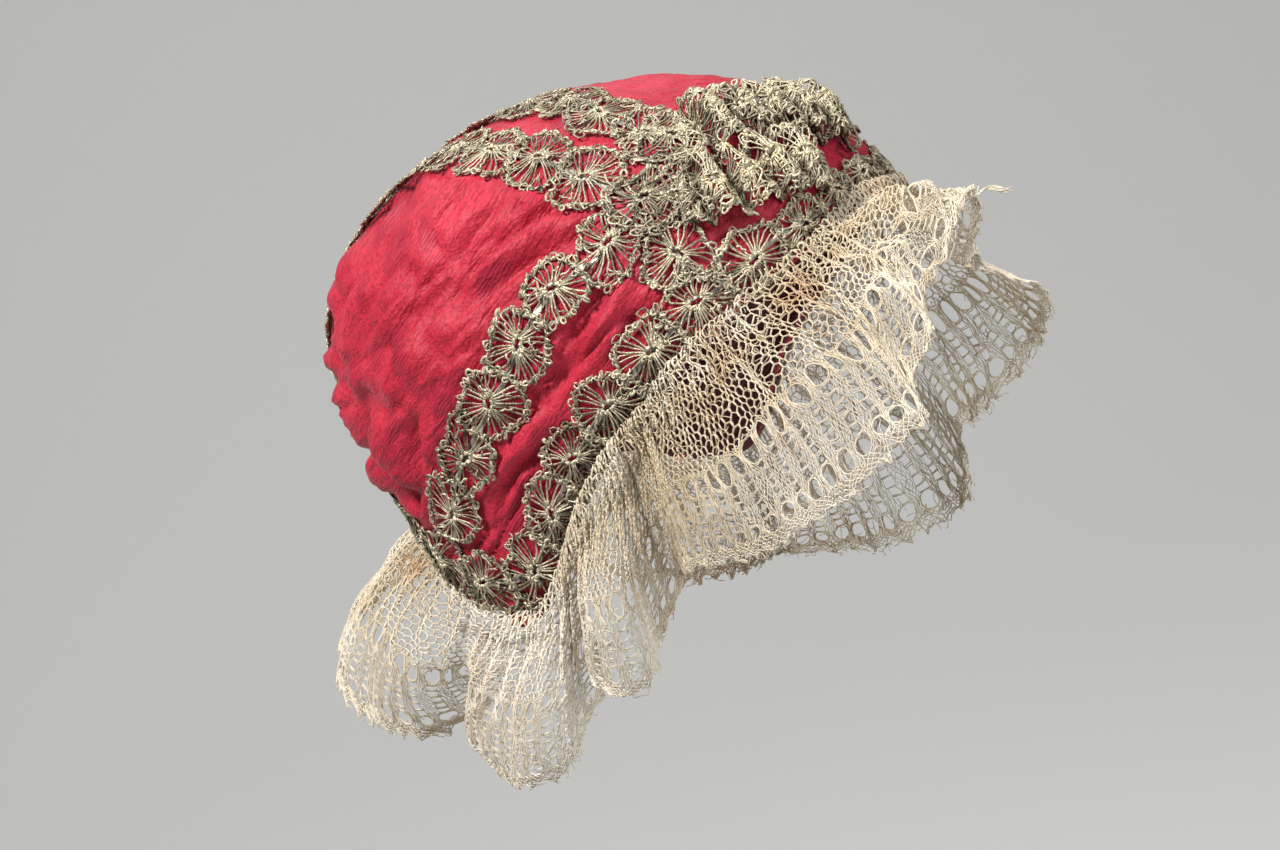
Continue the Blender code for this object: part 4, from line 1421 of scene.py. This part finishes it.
def stripMaterial():
    made = Finish("flatSilverStrip", {"Metallic": 0.7, "Roughness": 0.5})
    cloud = made.noise(made.objectPlace(), scale=220, detail=4)
    made.set({"Base Color": made.ramp(cloud, stripColours)})
    return made.material


def silkMaterial():
    made = Finish("redSilkDamask", silkFinish)
    flat = made.add("UVMap", uv_map="cloth").outputs[0]
    # damask figure: leafy patches, long the way of the folds, with lines of floats inside
    bend = made.add("TexNoise", {"Vector": flat, "Scale": 4.0, "Detail": 2.0}).outputs["Color"]
    moved = made.add("VectorMath", {0: bend, 1: (0.16, 0.30, 0), 2: flat}, operation="MULTIPLY_ADD")
    leafPlace = made.stretch(moved.outputs[0], (1.0, 0.6, 1.0))
    leaf = made.add("TexVoronoi", {"Vector": leafPlace, "Scale": 11, "Smoothness": 0.3}, feature="SMOOTH_F1")
    figure = made.ramp(leaf.outputs["Distance"], silkColours["figureMask"])
    # weave: crepe grain with a little twill everywhere, long floats in the figure
    twill = made.wave(flat, "DIAGONAL", {"Scale": 48, "Distortion": 2.0})
    floats = made.wave(flat, "X", {"Scale": 38, "Distortion": 5.0, "Detail Scale": 0.6})
    crepe = made.noise(made.stretch(flat, (1.0, 0.6, 1.0)), scale=155, detail=3, rough=0.65)
    weave = made.mix(figure, made.mix(0.95, twill, crepe), made.mix(0.72, floats, crepe))
    cloud = made.noise(made.objectPlace(), scale=26, detail=5, rough=0.6)
    ground = made.ramp(cloud, silkColours["ground"])
    colour = made.mix(made.maths("MULTIPLY", figure, 0.45), ground, silkColours["figure"])
    colour = made.mix(0.75, colour, made.ramp(weave, silkColours["grain"]), "MULTIPLY")
    # the inside wall gets the silk's duller back, darkened further as painted shade of the shadowed inside
    colour = made.mix(made.tone(), colour, silkColours["inside"])
    # small creases that run with the folds
    creases = made.noise(made.stretch(flat, (1.0, 0.28, 1.0)), scale=30, detail=3, rough=0.55)
    creases = made.maths("ABSOLUTE", made.maths("SUBTRACT", creases, 0.5))
    normal = made.bump(weave, strength=0.8, distance=0.00026)
    normal = made.bump(creases, strength=0.7, distance=0.0030, before=normal)
    normal = made.bump(figure, strength=0.3, distance=0.0003, before=normal)
    made.set({"Base Color": colour, "Normal": normal})
    return made.material


linen, silver, stripSilver, silk = linenMaterial(), silverMaterial(), stripMaterial(), silkMaterial()
finishes = ((lacePanels, linen), (silverPieces, silver), (stripPieces, stripSilver), ([silkCap], silk))
for pieces, material in finishes:
    for piece in pieces:
        piece.data.materials.append(material)
print("materials made")


# pale floor that curves up behind, soft lights and the camera at the photo's angle
cameraSizes = {
    "azimuth": -58.0,
    "elevation": 13.0,
    "roll": 17.0,
    "distance": 900.0,
    "lens": 101.25,
    "shiftX": 10.0,
    "shiftY": -18.75,
}
# metres: how far back and how high the floor runs, its height below the bonnet and half its width
floorSizes = {
    "profile": ((-3.0, 0.0), (0.6, 0.0), (1.0, 0.06), (1.3, 0.25), (1.45, 0.6), (1.5, 1.2), (1.5, 3.0)),
    "ground": -0.45,
    "half": 4.0,
}
# name, metres towards the camera, to its right and up, size, power, colour
lightPlan = (
    ("keyLight", 0.48, -0.58, 0.98, 0.3, 28, (1, 0.98, 0.95)),
    ("fillLight", 0.85, 0.85, 0.15, 0.8, 9.5, (1, 0.99, 0.97)),
    ("topLight", -0.7, 0.0, 1.1, 0.8, 5, (1, 1, 1)),
)
skyLight = {
    "colour": (0.85, 0.88, 0.92, 1),
    "strength": 0.22,
}
azimuth, elevation, roll = (math.radians(cameraSizes[k]) for k in ("azimuth", "elevation", "roll"))
back = Vector((math.sin(azimuth) * math.cos(elevation), -math.cos(azimuth) * math.cos(elevation),
               math.sin(elevation)))
right = Vector((math.cos(azimuth), math.sin(azimuth), 0))
up = back.cross(right)
imageRight = math.cos(roll) * right - math.sin(roll) * up
imageUp = math.sin(roll) * right + math.cos(roll) * up


def makeCamera():
    data = bpy.data.cameras.new("camera")
    data.lens = cameraSizes["lens"]
    data.sensor_width = 36
    data.clip_start, data.clip_end = 0.01, 20
    made = addObject("camera", data)
    eye = back * cameraSizes["distance"] - Vector(seat)
    eye = eye + imageRight * cameraSizes["shiftX"] + imageUp * cameraSizes["shiftY"]
    turned = Matrix((imageRight, imageUp, back)).transposed().to_4x4()
    turned.translation = eye * millimetre
    made.matrix_world = turned
    return made


def makeFloor():
    away = Vector((-back.x, -back.y, 0)).normalized()
    beside = Vector((-away.y, away.x, 0))
    corners = []
    for along, high in floorSizes["profile"]:
        for across in (-floorSizes["half"], floorSizes["half"]):
            p = away * along + beside * across
            corners.append((p.x, p.y, floorSizes["ground"] + high))
    mesh = bpy.data.meshes.new("floor")
    mesh.from_pydata(corners, [], [(k, k + 1, k + 3, k + 2) for k in range(0, len(corners) - 2, 2)])
    mesh.shade_smooth()
    mesh.materials.append(Finish("paleFloor", {"Base Color": (0.5, 0.5, 0.495), "Roughness": 0.9}).material)
    made = addObject("floor", mesh)
    smoothing = made.modifiers.new("smooth", "SUBSURF")
    smoothing.levels = smoothing.render_levels = 3
    return made


def softLight(name, place, size, power, colour):
    data = bpy.data.lights.new(name, "AREA")
    data.shape = "RECTANGLE"
    data.size = data.size_y = size
    data.energy = power
    data.color = colour
    light = addObject(name, data)
    light.location = place
    light.rotation_euler = (-place).to_track_quat("-Z", "Y").to_euler()
    return light


camera, floor = makeCamera(), makeFloor()
bpy.context.scene.camera = camera
lights = [softLight(name, back * near + right * side + Vector((0, 0, high)), size, power, colour)
          for name, near, side, high, size, power, colour in lightPlan]
bpy.context.scene.view_settings.view_transform = "Standard"
world = bpy.data.worlds.new("studio")
bpy.context.scene.world = world
world.use_nodes = True
sky = world.node_tree.nodes["Background"]
sky.inputs["Color"].default_value = skyLight["colour"]
sky.inputs["Strength"].default_value = skyLight["strength"]
